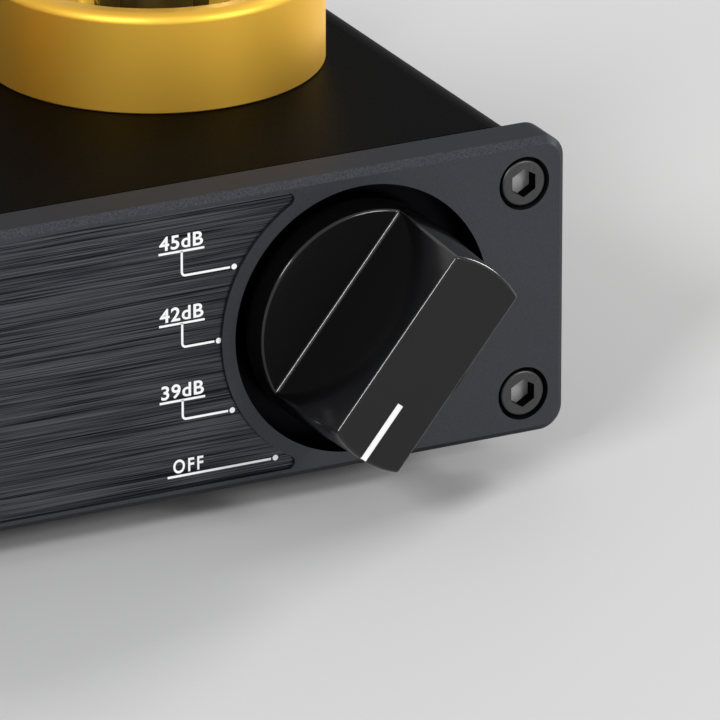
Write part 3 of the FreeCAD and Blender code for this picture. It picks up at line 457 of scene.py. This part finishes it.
pocket_floor = FACE_Y + POCKET_DEPTH
pocket_left = POCKET_END - HALF_W
half_pocket = TOP_Z - POCKET_MARGIN - KNOB_AXIS.z
pocket = block("pocket_cutter", (pocket_left, FACE_Y - REACH, KNOB_AXIS.z - half_pocket),
               (KNOB_AXIS.x + POCKET_PAST_AXIS, pocket_floor, KNOB_AXIS.z + half_pocket))


def left_depth_edge(edge):
    """True for the cutter's two left edges that run along its depth."""
    a, b = ends(pocket, edge)
    return abs(a.x - pocket_left) < CLOSE and abs(b.x - pocket_left) < CLOSE and abs(a.z - b.z) < CLOSE


choose(pocket, "EDGE", left_depth_edge)
bpy.ops.mesh.bevel(offset=POCKET_CORNER, segments=8, affect="EDGES")
done()
arc_cutter = drum("arc", POCKET_ARC_R, KNOB_AXIS, FACE_Y - 2 * REACH, pocket_floor + REACH, 256)
combine(pocket, arc_cutter, "DIFFERENCE")
corner_z = half_pocket - POCKET_CORNER
corner_x = math.sqrt((POCKET_ARC_R + POCKET_CORNER) ** 2 - corner_z ** 2)
touch = POCKET_ARC_R / (POCKET_ARC_R + POCKET_CORNER)
for side in (-1, 1):
    low_z, high_z = sorted((side * corner_z * touch, side * (half_pocket + REACH)))
    tip = block("tip", (KNOB_AXIS.x - corner_x, FACE_Y - 2 * REACH, KNOB_AXIS.z + low_z),
                (KNOB_AXIS.x, pocket_floor + REACH, KNOB_AXIS.z + high_z))
    combine(pocket, tip, "DIFFERENCE")
    centre = KNOB_AXIS + Vector((-corner_x, 0, side * corner_z))
    combine(pocket, drum("corner", POCKET_CORNER, centre, FACE_Y - REACH, pocket_floor, 64), "UNION")
print("pocket cutter", len(pocket.data.polygons), "faces")

# %% [markdown]
# Now the plate is cut: the pocket, the deep well that the knob sits in, the
# hole for the switch's bushing, and a counterbored seat for each screw. At the
# end every sharp edge is broken by less than a tenth of a millimetre, as
# deburring does, which gives the cuts their thin bright outline.

# %% Well, pocket and screw seats
WELL_R = 16.05 * MM
WELL_DEPTH = 4.2 * MM
BUSHING_HOLE_R = 3.6 * MM
SEAT_R = 3.2 * MM
SEAT_DEPTH = 3.1 * MM
SHANK_HOLE_R = 1.6 * MM
SCREW_HEAD_R = 2.75 * MM
DEBURR = 0.07 * MM

screw_low, screw_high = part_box("front_screws")
screw_centres = [Vector((x, 0, z)) for x in (screw_low.x + SCREW_HEAD_R, screw_high.x - SCREW_HEAD_R)
                 for z in (screw_low.z + SCREW_HEAD_R, screw_high.z - SCREW_HEAD_R)]
well = drum("well", WELL_R, KNOB_AXIS, FACE_Y - REACH, FACE_Y + WELL_DEPTH, 256)
bushing_hole = drum("bushing_hole", BUSHING_HOLE_R, KNOB_AXIS, FACE_Y, PLATE_BACK + REACH, 64)
for cutter in (pocket, well, bushing_hole):
    combine(plate, cutter, "DIFFERENCE")
for centre in screw_centres:
    seat = drum("seat", SEAT_R, centre, FACE_Y - REACH, FACE_Y + SEAT_DEPTH, 96)
    combine(plate, seat, "DIFFERENCE")
    shank_hole = drum("shank_hole", SHANK_HOLE_R, centre, FACE_Y, PLATE_BACK + REACH, 32)
    combine(plate, shank_hole, "DIFFERENCE")
soften(plate, DEBURR, 2, 25)
smooth(plate, 20)
print("plate cut", len(plate.data.polygons), "faces")

# %% [markdown]
# One plate shows four finishes, because each cut leaves its own surface. Every
# face is sorted by its place and direction: the pocket's floor is brushed, the
# well is turned and painted near black as painted shade, the 45 degree bevel is
# milled, and the rest is blasted.

# %% Finish the plate's faces
WELL_EDGE = 0.2 * MM
BEVEL_EDGE = 0.05 * MM
HALF_WAY = math.cos(math.radians(45))

paint(plate, plate_finish, brushed_finish, well_shade_finish, bevel_finish)
for face in plate.data.polygons:
    place = face.center
    depth = place.y - FACE_Y
    from_axis = Vector((place.x - KNOB_AXIS.x, 0, place.z - KNOB_AXIS.z)).length
    if abs(depth - POCKET_DEPTH) < CLOSE and face.normal.y < -0.99:
        face.material_index = 1
    elif from_axis < WELL_R + 0.01 * MM and depth > WELL_EDGE:
        face.material_index = 2
    elif BEVEL_EDGE < depth < PLATE_BEVEL and abs(abs(face.normal.y) - HALF_WAY) < 0.1:
        face.material_index = 3
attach(plate, "case")
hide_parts("front_plate")
print("brushed faces", sum(face.material_index == 1 for face in plate.data.polygons))

# %% [markdown]
# The knob is one moulding: a gloss black disc with a tall bar across it for the
# fingers. The bar's ends run on from the disc's side, so the whole knob starts
# as one round blank that narrows towards its face, and the bar is what stays
# when a block is cut away on either side. The blocks lean a little, which is
# the draft that lets a moulding leave its mould.

# %% Knob blank and bar
KNOB_R = 13.65 * MM
KNOB_FACE_R = 12.95 * MM
KNOB_RIM_W = 0.5 * MM
DISC_Y = FACE_Y - 1.8 * MM
SKIRT_Y = DISC_Y + 4.4 * MM
BAR_Y = knob_low.y
BAR_HALF_BASE = 5.2 * MM
BAR_HALF_FACE = 5.08 * MM
SHORTEST_EDGE = 0.3 * MM

knob = drum("knob_finished", KNOB_R, KNOB_AXIS, DISC_Y + KNOB_RIM_W, SKIRT_Y, 128)
choose(knob, "FACE", lambda f: f.normal.y < -0.99)
bpy.ops.mesh.extrude_region_move(TRANSFORM_OT_translate={"value": (0, BAR_Y - DISC_Y - KNOB_RIM_W, 0)})
narrowing = KNOB_FACE_R / KNOB_R
face_centre = (KNOB_AXIS.x, BAR_Y, KNOB_AXIS.z)
bpy.ops.transform.resize(value=(narrowing, 1, narrowing), center_override=face_centre)
done()
lean = (BAR_HALF_BASE - BAR_HALF_FACE) * (DISC_Y - BAR_Y + REACH) / (DISC_Y - BAR_Y)
for side in (-1, 1):
    near_x, far_x = sorted((side * BAR_HALF_BASE, side * (KNOB_R + REACH)))
    waste = block("waste", KNOB_AXIS + Vector((near_x, BAR_Y - REACH, -KNOB_R - REACH)),
                  KNOB_AXIS + Vector((far_x, DISC_Y, KNOB_R + REACH)))
    choose(waste, "VERT", lambda v: v.co.y < DISC_Y - REACH and abs(v.co.x - KNOB_AXIS.x) < KNOB_R)
    bpy.ops.transform.translate(value=(-side * lean, 0, 0))
    done()
    combine(knob, waste, "DIFFERENCE")
choose(knob, "VERT", lambda v: True)
bpy.ops.mesh.remove_doubles(threshold=SHORTEST_EDGE)
done()
print("knob blank", len(knob.data.polygons), "faces")

# %% [markdown]
# Every outer edge gets a small round, which catches the light as a thin bright
# line. A tiny inner round is tried at the bar's foot too, but it finds one edge
# at most and often none, as the printed count shows. Merging close points has
# moved the foot by then, and which points move depends on the order the cutter
# leaves them in, so the knob differs a little from run to run. Then the back is
# hollowed, the brass insert's hole is bored and the groove for the white line
# is cut, and last the knob is turned to where the switch stands.

# %% Round, hollow and turn the knob
KNOB_ROUND = 0.3 * MM
FOOT_ROUND = 0.1 * MM
OFF_ANGLE = math.radians(39.05)
HOLLOW_R = 12.2 * MM
HOLLOW_Y = SKIRT_Y - 3.0 * MM
INSERT_R = 4.1 * MM
INSERT_DEPTH = 10 * MM
GROOVE_HALF = 0.425 * MM
GROOVE_DEPTH = 0.55 * MM
GROOVE_TOP = 5.4 * MM


def at_bar_foot(edge):
    """True for an edge where the bar's side meets the disc."""
    sideways = [abs(abs(p.x - KNOB_AXIS.x) - BAR_HALF_BASE) for p in ends(knob, edge)]
    return lies_at(knob, edge, DISC_Y) and max(sideways) < 0.01 * MM


foot_edges = choose(knob, "EDGE", at_bar_foot)
bpy.ops.mesh.bevel(offset=FOOT_ROUND, segments=3, affect="EDGES")
done()
soften(knob, KNOB_ROUND, 4, 35, clamp=False)
combine(knob, drum("hollow", HOLLOW_R, KNOB_AXIS, HOLLOW_Y, SKIRT_Y + REACH, 128), "DIFFERENCE")
insert_hole = drum("insert_hole", INSERT_R, KNOB_AXIS, HOLLOW_Y - INSERT_DEPTH, SKIRT_Y, 96)
combine(knob, insert_hole, "DIFFERENCE")
groove = block("groove", KNOB_AXIS + Vector((-GROOVE_HALF, BAR_Y - REACH, -KNOB_R - REACH)),
               KNOB_AXIS + Vector((GROOVE_HALF, BAR_Y + GROOVE_DEPTH, -GROOVE_TOP)))
combine(knob, groove, "DIFFERENCE")
only(knob)
knob.matrix_world = (Matrix.Translation(KNOB_AXIS) @ Matrix.Rotation(OFF_ANGLE, 4, "Y")
                     @ Matrix.Translation(-KNOB_AXIS))
bpy.ops.object.transform_apply(location=True, rotation=True, scale=True)
smooth(knob, 40)
print("foot edges rounded", foot_edges, "faces", len(knob.data.polygons))

# %% [markdown]
# The knob is ABS from a polished mould, nearly black and glossy, with a fine
# matt texture only on the bar's face. A slow ripple stands for the mould's own
# unevenness. The pointer's groove is filled with white enamel.

# %% Knob finish
gloss_black = new_material("abs_moulded_gloss", "#0c0c0d", 0.0, 0.15, IOR=1.5)
bump(gloss_black, grain(gloss_black, 3.0).outputs["Fac"], 0.01, 0.4)
roughen(gloss_black, grain(gloss_black, 0.5), 0.13, 0.18)
matt_black = new_material("abs_moulded_fine_texture", "#101010", 0.0, 0.5, Specular_IOR_Level=0.28)
bump(matt_black, grain(matt_black, 0.09).outputs["Fac"], 0.01)
paint(knob, gloss_black, matt_black)
for face in knob.data.polygons:
    if face.normal.y < -0.999 and face.center.y < BAR_Y + 0.01 * MM:
        face.material_index = 1
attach(knob, "knob_and_shaft")
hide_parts("knob_body")
white_fill = new_material("enamel_filled_line", "#f2f2f2", 0.0, 0.4)
bump(white_fill, grain(white_fill, 0.2).outputs["Fac"], 0.004)
nodes["knob_pointer"].data.materials.clear()
nodes["knob_pointer"].data.materials.append(white_fill)
print("matt faces", sum(face.material_index == 1 for face in knob.data.polygons))

# %% [markdown]
# A lathe cuts one outline round an axis. Here one circle is extruded ring by
# ring through the same outline, each ring scaled to its radius, and the last
# ring meets the first. Outlines are written in millimetres.

# %% Turn a shape on a lathe
def turned(name, centre, outline, sides=192):
    """Extrude a circle through (radius, height) pairs in mm; the last joins the first."""
    bpy.ops.object.select_all(action="DESELECT")
    first_r, first_h = outline[0]
    base = Vector(centre) + Vector((0, 0, first_h * MM))
    bpy.ops.mesh.primitive_circle_add(vertices=sides, radius=first_r * MM, location=base,
                                      fill_type="NOTHING")
    bpy.ops.object.transform_apply(location=True, rotation=True, scale=True)
    obj = bpy.context.object
    obj.name = name
    bpy.ops.object.mode_set(mode="EDIT")
    bpy.ops.mesh.select_all(action="SELECT")
    last_r, last_h = first_r, first_h
    for r, h in outline[1:] + [outline[0]]:
        bpy.ops.mesh.extrude_region_move(TRANSFORM_OT_translate={"value": (0, 0, (h - last_h) * MM)})
        middle = Vector(centre) + Vector((0, 0, h * MM))
        bpy.ops.transform.resize(value=(r / last_r, r / last_r, 1), center_override=middle)
        last_r, last_h = r, h
    bpy.ops.mesh.select_all(action="SELECT")
    bpy.ops.mesh.remove_doubles(threshold=CLOSE / 10)
    bpy.ops.mesh.normals_make_consistent(inside=False)
    done()
    return obj


def arc(cx, cz, r, start, end, steps):
    """Points of a round stretch in (radius, height), from one angle to another."""
    angles = [math.radians(start + (end - start) * i / steps) for i in range(steps + 1)]
    return [(cx + r * math.cos(a), cz + r * math.sin(a)) for a in angles]


print("quarter round has", len(arc(0, 0, 1, 0, 90, 8)), "points")

# %% [markdown]
# The collars are turned rings with a satin gold anodised finish. The outline
# goes up the straight outside, over a rounded shoulder and a narrow flat rim,
# down the hollow dish round the tube, and back along the spigot that reaches
# through the case. Sizes here are in millimetres.

# %% Collar outline
COLLAR_R = 20.0
COLLAR_H = 12.0
COLLAR_EDGE = 1.2
COLLAR_BORE = 10.6
FOOT_BREAK = 0.15
RIM_W = 1.4
RIM_BREAK = (0.2, 0.12)
DISH_FOOT = 1.2
DISH_BOW = (0.78, 1.3)
DISH_STEPS = 14
SPIGOT = (12.5, -6.2)

rim_r = COLLAR_R - COLLAR_EDGE - RIM_W
outline = [(COLLAR_R - FOOT_BREAK, 0), (COLLAR_R, FOOT_BREAK)]
outline += arc(COLLAR_R - COLLAR_EDGE, COLLAR_H - COLLAR_EDGE, COLLAR_EDGE, 0, 90, 8)
outline += [(rim_r + RIM_BREAK[0], COLLAR_H), (rim_r, COLLAR_H - RIM_BREAK[1])]
for i in range(1, DISH_STEPS):
    t = i / DISH_STEPS
    bow = math.sin(math.pi * t)
    outline.append((rim_r + (COLLAR_BORE - rim_r) * t + DISH_BOW[0] * bow,
                    COLLAR_H - RIM_BREAK[1] + (DISH_FOOT - COLLAR_H) * t - DISH_BOW[1] * bow))
outline += [(COLLAR_BORE, DISH_FOOT), (COLLAR_BORE, SPIGOT[1]), SPIGOT, (SPIGOT[0], 0)]
print("collar outline has", len(outline), "points")

# %% [markdown]
# Both collars are the same part, so one is turned and the other is its copy,
# moved by the distance between the frame's two collars.

# %% Collars
collar_gold = new_material("anodised_aluminium_satin_gold", "#f2c04a", 1.0, 0.5)
turning = grain(collar_gold, 0.1)
bump(collar_gold, turning.outputs["Fac"], 0.003)
roughen(collar_gold, turning, 0.46, 0.54)
left_low, left_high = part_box("left_collar")
right_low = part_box("right_collar")[0]
left_centre = Vector(((left_low.x + left_high.x) / 2, (left_low.y + left_high.y) / 2, TOP_Z))
left_ring = turned("left_collar_finished", left_centre, outline)
smooth(left_ring, 40)
paint(left_ring, collar_gold)
right_ring = copied(left_ring, right_low - left_low)
right_ring.name = "right_collar_finished"
for side, ring in (("left", left_ring), ("right", right_ring)):
    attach(ring, "case")
    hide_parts(side + "_collar")
print("collars", len(left_ring.data.polygons), "faces each")

# %% [markdown]
# The scale beside the knob is pad printed in white. Lines, dots and rounded
# turns are thin solids that lie on the pocket's floor and stand two hundredths
# of a millimetre proud. Places on the scale are written in millimetres from the
# knob's axis.

# %% Ink lines and dots
INK_H = 0.02 * MM
LINE_W = 0.27 * MM
DOT_R = 0.34 * MM

ink_y = pocket_floor - INK_H
ink = new_material("pad_printed_ink", "#f4f4f4", 0.0, 0.5)
bump(ink, grain(ink, 0.1).outputs["Fac"], 0.002)


def at_scale(x, z):
    """A point of the scale in mm from the knob axis."""
    return Vector((KNOB_AXIS.x + x * MM, ink_y, KNOB_AXIS.z + z * MM))


def ink_bar(x0, z0, x1, z1):
    """A straight printed line between two points, level or upright."""
    a, b = at_scale(min(x0, x1), min(z0, z1)), at_scale(max(x0, x1), max(z0, z1))
    half = Vector((LINE_W / 2 if x0 == x1 else 0, 0, LINE_W / 2 if z0 == z1 else 0))
    return block("line", a - half, b + half + Vector((0, INK_H, 0)))


def ink_dot(x, z):
    """A printed round dot."""
    return drum("dot", DOT_R, at_scale(x, z), ink_y, ink_y + INK_H, 48)


def ink_turn(x, z, r):
    """The rounded turn of a leader, from upright above to level at the right."""
    centre = at_scale(x, z)
    outer = drum("turn", r * MM + LINE_W / 2, centre, ink_y, ink_y + INK_H, 64)
    inner = drum("hole", r * MM - LINE_W / 2, centre, ink_y - REACH, ink_y + REACH, 64)
    combine(outer, inner, "DIFFERENCE")
    wide = 3 * r * MM
    quarter = block("quarter", centre - Vector((wide, REACH, wide)), centre + Vector((0, REACH, 0)))
    return combine(outer, quarter, "INTERSECT")


print("lines stand", round((pocket_floor - ink_y) / MM, 3), "mm proud")

# %% [markdown]
# The letters use the built-in face, made a little heavier by an outward offset
# and given their own width and spacing, then turned into a mesh. They are as
# thick as the lines but stand a hundredth of a millimetre further out.

# %% Lettering
TEXT_WEIGHT = 0.02


def ink_text(words, x, z, size, width, spacing):
    """Printed words from their lower left corner, stretched and spaced by a factor."""
    bpy.ops.object.select_all(action="DESELECT")
    bpy.ops.object.text_add(location=at_scale(x, z), rotation=(math.pi / 2, 0, 0))
    text = bpy.context.object
    text.data.body = words
    text.data.size = size
    text.data.extrude = INK_H / 2
    text.data.offset = TEXT_WEIGHT * size
    text.data.space_character = spacing
    text.scale.x = width
    bpy.ops.object.convert(target="MESH")
    bpy.ops.object.transform_apply(location=True, rotation=True, scale=True)
    return bpy.context.object


print("letters grow by", TEXT_WEIGHT, "of their size")

# %% [markdown]
# Three values stand on a short line, from which a leader drops, turns and runs
# to a dot beside the well. Only the heights and the dot's place differ, so they
# are rows of one table. The lowest value has one straight line to its dot.

# %% Scale marks
TEXT_SIZE = 2.3 * MM
TEXT_X = -25.3
TEXT_RISE = 0.42
LINE_X = (-25.4, -19.7)
LEADER_X = -22.52
TURN_R = 0.45
DOT_GAP = 0.52
OFF_SIZE = 2.25 * MM
OFF_LINE = (-24.46, -15.24, -11.45, -15.24)

marks = {}
for words, line_z, leader_z, dot_x in (("45dB", 11.90, 8.92, -15.98), ("42dB", 3.23, 0.32, -17.98),
                                       ("39dB", -6.08, -8.42, -16.3)):
    marks[words] = [
        ink_text(words, TEXT_X, line_z + TEXT_RISE, TEXT_SIZE, 1.07, 1.09),
        ink_bar(LINE_X[0], line_z, LINE_X[1], line_z),
        ink_bar(LEADER_X, leader_z + TURN_R, LEADER_X, line_z),
        ink_turn(LEADER_X + TURN_R, leader_z + TURN_R, TURN_R),
        ink_bar(LEADER_X + TURN_R, leader_z, dot_x - DOT_GAP, leader_z),
        ink_dot(dot_x, leader_z)]
marks["OFF"] = [ink_text("OFF", -23.8, -14.83, OFF_SIZE, 0.84, 1.27), ink_bar(*OFF_LINE),
                ink_dot(-10.88, -15.2)]
for words, pieces in marks.items():
    mark = joined(pieces, "scale_" + words)
    paint(mark, ink)
    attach(mark, "case")
print("scale marks", list(marks))

# %% [markdown]
# The front screws are blackened socket cap screws. The head's knurl hides in
# its seat and is left out. What shows is the flat face with its rounded rim,
# and a hexagonal socket. Its walls are painted darker than the head, as painted
# shade, and its floor is painted light grey, as painted light, though the whole
# screw is black oxide.

# %% Front screw finishes
steel_black = new_material("steel_blackened", "#4a4a4a", 1.0, 0.42)
specks = grain(steel_black, 0.15)
vary(steel_black, specks.outputs["Fac"], "#454545", "#505050")
bump(steel_black, specks.outputs["Fac"], 0.004)
# The socket's walls: near black, painted shade inside the socket.
socket_wall_painted_shade = new_material("steel_blackened_socket_wall", "#141414", 1.0, 0.4, Specular_Tint=EDGE_TINT)
bump(socket_wall_painted_shade, grain(socket_wall_painted_shade, 0.1).outputs["Fac"], 0.004)
# The socket's floor: light grey, painted light; the real floor is black oxide too.
socket_floor_light = new_material("steel_socket_floor_painted_light", "#b0b0b0", 1.0, 0.55)
bump(socket_floor_light, grain(socket_floor_light, 0.08, (1, 0.1, 1)).outputs["Fac"], 0.004)
print("screw finishes", steel_black.name, socket_wall_painted_shade.name, socket_floor_light.name)

# %% [markdown]
# One screw is modelled and the other three are copies of it. The socket is a
# hexagonal cut with a flat, rough floor, on which the lamp at the right draws a
# small bright patch; the floor's light grey is painted light that brightens it.

# %% Front screws
HEX_R = 2.95 / math.sqrt(3) * MM
HEX_DEPTH = 1.6 * MM
HEAD_Y = FACE_Y + 0.1 * MM
HEAD_L = 3.0 * MM
HEAD_ROUND = 0.28 * MM
SHANK_R = 1.5 * MM
SHANK_OVERLAP = 0.1 * MM
SOCKET_EDGE = 0.02 * MM

first = screw_centres[0]
head = drum("head", SCREW_HEAD_R, first, HEAD_Y, HEAD_Y + HEAD_L, 96)
choose(head, "EDGE", lambda e: lies_at(head, e, HEAD_Y))
bpy.ops.mesh.bevel(offset=HEAD_ROUND, segments=3, affect="EDGES")
done()
combine(head, drum("hex", HEX_R, first, HEAD_Y - REACH, HEAD_Y + HEX_DEPTH, 6), "DIFFERENCE")
shank = drum("shank", SHANK_R, first, HEAD_Y + HEAD_L - SHANK_OVERLAP, screw_high.y, 32)
combine(head, shank, "UNION")
smooth(head, 30)
paint(head, steel_black, socket_wall_painted_shade, socket_floor_light)
# Socket walls take the painted shade, the socket floor the painted light.
for face in head.data.polygons:
    from_axis = Vector((face.center.x - first.x, 0, face.center.z - first.z)).length
    if from_axis < HEX_R * 0.97 and face.center.y > HEAD_Y + SOCKET_EDGE:
        face.material_index = 2 if abs(face.normal.y) > 0.9 else 1
screw_heads = [head] + [copied(head, centre - first) for centre in screw_centres[1:]]
front_screws = joined(screw_heads, "front_screws_finished")
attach(front_screws, "case")
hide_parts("front_screws")
print("front screws", len(front_screws.data.polygons), "faces")

# %% [markdown]
# Every other piece keeps its shape from the frame. Each gets a finish made the
# same way: the real material's colour between a dark and a light value, a
# typical roughness, and a fine grain. Metals are plated, turned or drawn.

# %% Metals
def simple(name, dark, light, metallic, roughness, grain_mm, depth_mm=0.004):
    """An even finish whose colour, roughness and height share one grain."""
    material = new_material(name, light, metallic, roughness)
    spots = grain(material, grain_mm)
    vary(material, spots.outputs["Fac"], dark, light)
    roughen(material, spots, roughness * 0.85, min(1.0, roughness * 1.15))
    bump(material, spots.outputs["Fac"], depth_mm)
    return material


gold_plate = simple("gold_plated_brass", "#c89236", "#dca94a", 1.0, 0.18, 0.6)
brass = simple("brass_turned", "#a8823c", "#b89048", 1.0, 0.3, 0.3)
zinc = simple("steel_zinc_plated", "#9a9a98", "#b4b4b0", 1.0, 0.3, 0.4)
tin = simple("copper_tinned", "#a8a8a8", "#c4c4c4", 1.0, 0.3, 0.3)
anode_grey = simple("nickel_carbonised", "#2c2c2e", "#3a3a3c", 1.0, 0.55, 0.4)
nickel = simple("nickel_wire", "#8a8884", "#a4a29e", 1.0, 0.3, 0.2)
print("materials with the metals", len(bpy.data.materials))

# %% [markdown]
# Plastics, rubber, the board and the small parts on it are coated or moulded,
# so they aren't metallic, and most have a soft shine.

# %% Plastics and board parts
rubber = simple("rubber_moulded", "#161616", "#1e1e1e", 0.0, 0.8, 0.3, 0.02)
black_nylon = simple("nylon_moulded", "#141416", "#1c1c1e", 0.0, 0.5, 0.25)
acetal = simple("acetal_moulded", "#c8c6c0", "#d8d6d0", 0.0, 0.45, 0.3)
board_green = simple("fibreglass_board_masked", "#0f3a1e", "#164a28", 0.0, 0.35, 1.2)
can_sleeve = simple("pvc_sleeve_printed_plain", "#15161c", "#20222a", 0.0, 0.35, 0.6)
film_red = simple("epoxy_dipped", "#5a1410", "#6c1c16", 0.0, 0.3, 0.8)
chip_black = simple("epoxy_moulded", "#121212", "#1a1a1a", 0.0, 0.6, 0.15)
resistor_blue = simple("lacquer_dipped", "#3a6a9a", "#4a7aaa", 0.0, 0.3, 0.5)
white_abs = simple("abs_moulded_white", "#d8d8d6", "#e6e6e4", 0.0, 0.3, 0.5)
red_abs = simple("abs_moulded_red", "#8c1212", "#a01818", 0.0, 0.3, 0.5)
print("materials with the plastics", len(bpy.data.materials))

# %% [markdown]
# Inside each tube a coated cathode and the anodes hang between two sheets of
# mica. The bulb is clear glass, with a slow ripple from drawing it.

# %% Tube materials
ceramic = simple("ceramic_pressed", "#d6d2c6", "#e4e0d6", 0.0, 0.4, 0.2)
oxide_white = simple("oxide_coating", "#cfcfcb", "#e0e0dc", 0.0, 0.9, 0.15)
mica = simple("mica_sheet", "#b8a888", "#cabb9a", 0.0, 0.2, 1.5)
glass = new_material("glass_drawn", "#f4fafa", 0.0, 0.02, Transmission_Weight=1.0, IOR=1.5)
bump(glass, grain(glass, 6.0).outputs["Fac"], 0.02, 0.3)
print("materials with the tubes", len(bpy.data.materials))

# %% [markdown]
# Now every node that still stands for itself gets its finish. The two tubes are
# alike, so their pieces are written once and repeated for each side.

# %% Finish the remaining pieces
finishes = {
    "chassis_sleeve": sleeve_finish, "rear_plate": rear_finish, "rear_screws": steel_black,
    "foot_screws": zinc, "rubber_feet": rubber, "knob_insert": brass, "switch_shaft": zinc,
    "switch_rotor": acetal, "switch_cover": zinc, "switch_housing": black_nylon,
    "switch_terminals": tin, "switch_washer": zinc, "switch_nut": zinc, "main_board": board_green,
    "electrolytic_capacitors": can_sleeve, "film_capacitors": film_red, "op_amps": chip_black,
    "voltage_regulators": chip_black, "resistors": resistor_blue, "input_jack_block": black_nylon,
    "output_jack_block": black_nylon, "input_jack_shells": gold_plate,
    "output_jack_shells": gold_plate, "jack_insulators_white": white_abs,
    "jack_insulators_red": red_abs, "jack_contacts": gold_plate, "ground_post": gold_plate,
    "ground_lock_nut": gold_plate, "ground_washer": gold_plate, "ground_thumb_nut": gold_plate,
    "power_jack": black_nylon, "power_pin": tin,
}
tube_finishes = {
    "ring_nut": zinc, "socket": ceramic, "socket_contacts": tin, "tube_glass": glass,
    "tube_pins": nickel, "tube_micas": mica, "tube_anode": anode_grey, "tube_rods": nickel,
    "tube_cathode": oxide_white, "tube_getter": nickel,
}
for side in ("left", "right"):
    for piece, material in tube_finishes.items():
        finishes[side + "_" + piece] = material
for node, material in finishes.items():
    nodes[node].data.materials.clear()
    nodes[node].data.materials.append(material)
print("finished nodes", len(finishes))

# %% [markdown]
# The stage is a wide pale floor, painted and rolled, so it has a slow grain of
# its own.

# %% Floor
FLOOR_SIZE = 6

bpy.ops.object.select_all(action="DESELECT")
bpy.ops.mesh.primitive_plane_add(size=FLOOR_SIZE, location=(0, 0, 0))
floor = bpy.context.object
floor.name = "floor"
floor_paint = new_material("floor_paint", "#d8d8d8", 0.0, 0.6)
bump(floor_paint, grain(floor_paint, 4.0).outputs["Fac"], 0.02)
floor.data.materials.append(floor_paint)
print("floor", FLOOR_SIZE, "m across")

# %% [markdown]
# The world is one pale tone with two strengths. What the camera sees directly,
# in a mirror or through glass is bright, as the photograph's white backdrop is;
# what lights the object is half as strong, so the lamps still shape it.

# %% World
LIGHT_LEVEL = 0.45
SEEN_LEVEL = 0.9

world = bpy.data.worlds.new("studio")
bpy.context.scene.world = world
world.use_nodes = True
world_nodes = world.node_tree.nodes
background = world_nodes["Background"]
background.inputs["Color"].default_value = linear("#e8e8e8")
path = world_nodes.new("ShaderNodeLightPath")
seen = path.outputs["Is Camera Ray"]
for ray in ("Is Glossy Ray", "Is Transmission Ray"):
    either = world_nodes.new("ShaderNodeMath")
    either.operation = "MAXIMUM"
    world.node_tree.links.new(seen, either.inputs[0])
    world.node_tree.links.new(path.outputs[ray], either.inputs[1])
    seen = either.outputs["Value"]
glow = world_nodes.new("ShaderNodeMapRange")
glow.inputs["To Min"].default_value = LIGHT_LEVEL
glow.inputs["To Max"].default_value = SEEN_LEVEL
world.node_tree.links.new(seen, glow.inputs["Value"])
world.node_tree.links.new(glow.outputs["Result"], background.inputs["Strength"])
print("world nodes", len(world_nodes))

# %% [markdown]
# Three square area lamps stand far off, each turned to the object's middle. The
# key comes from the front right, a rim lamp from behind on the right makes the
# thin bright outlines, and a fill at the left keeps the shadows open.

# %% Soft lamps
def softbox(name, place, aim, size, power):
    """A square area lamp that faces a point."""
    bpy.ops.object.light_add(type="AREA", location=place)
    lamp = bpy.context.object
    lamp.name = name
    lamp.data.size = size
    lamp.data.energy = power
    lamp.rotation_mode = "QUATERNION"
    lamp.rotation_quaternion = (Vector(aim) - Vector(place)).to_track_quat("-Z", "Y")


middle = (cad_low + cad_high) / 2
softbox("key_front_right", (1.2, -2.2, 1.1), middle, 0.6, 28)
softbox("rim_back_right", (2.0, 0.7, 0.8), middle, 0.7, 32)
softbox("fill_left", (-1.6, -1.3, 1.3), middle, 0.5, 28)

# %% [markdown]
# The plain view transform keeps colours as they were written.

# %% Colour view
scene = bpy.context.scene
scene.view_settings.view_transform = "Standard"
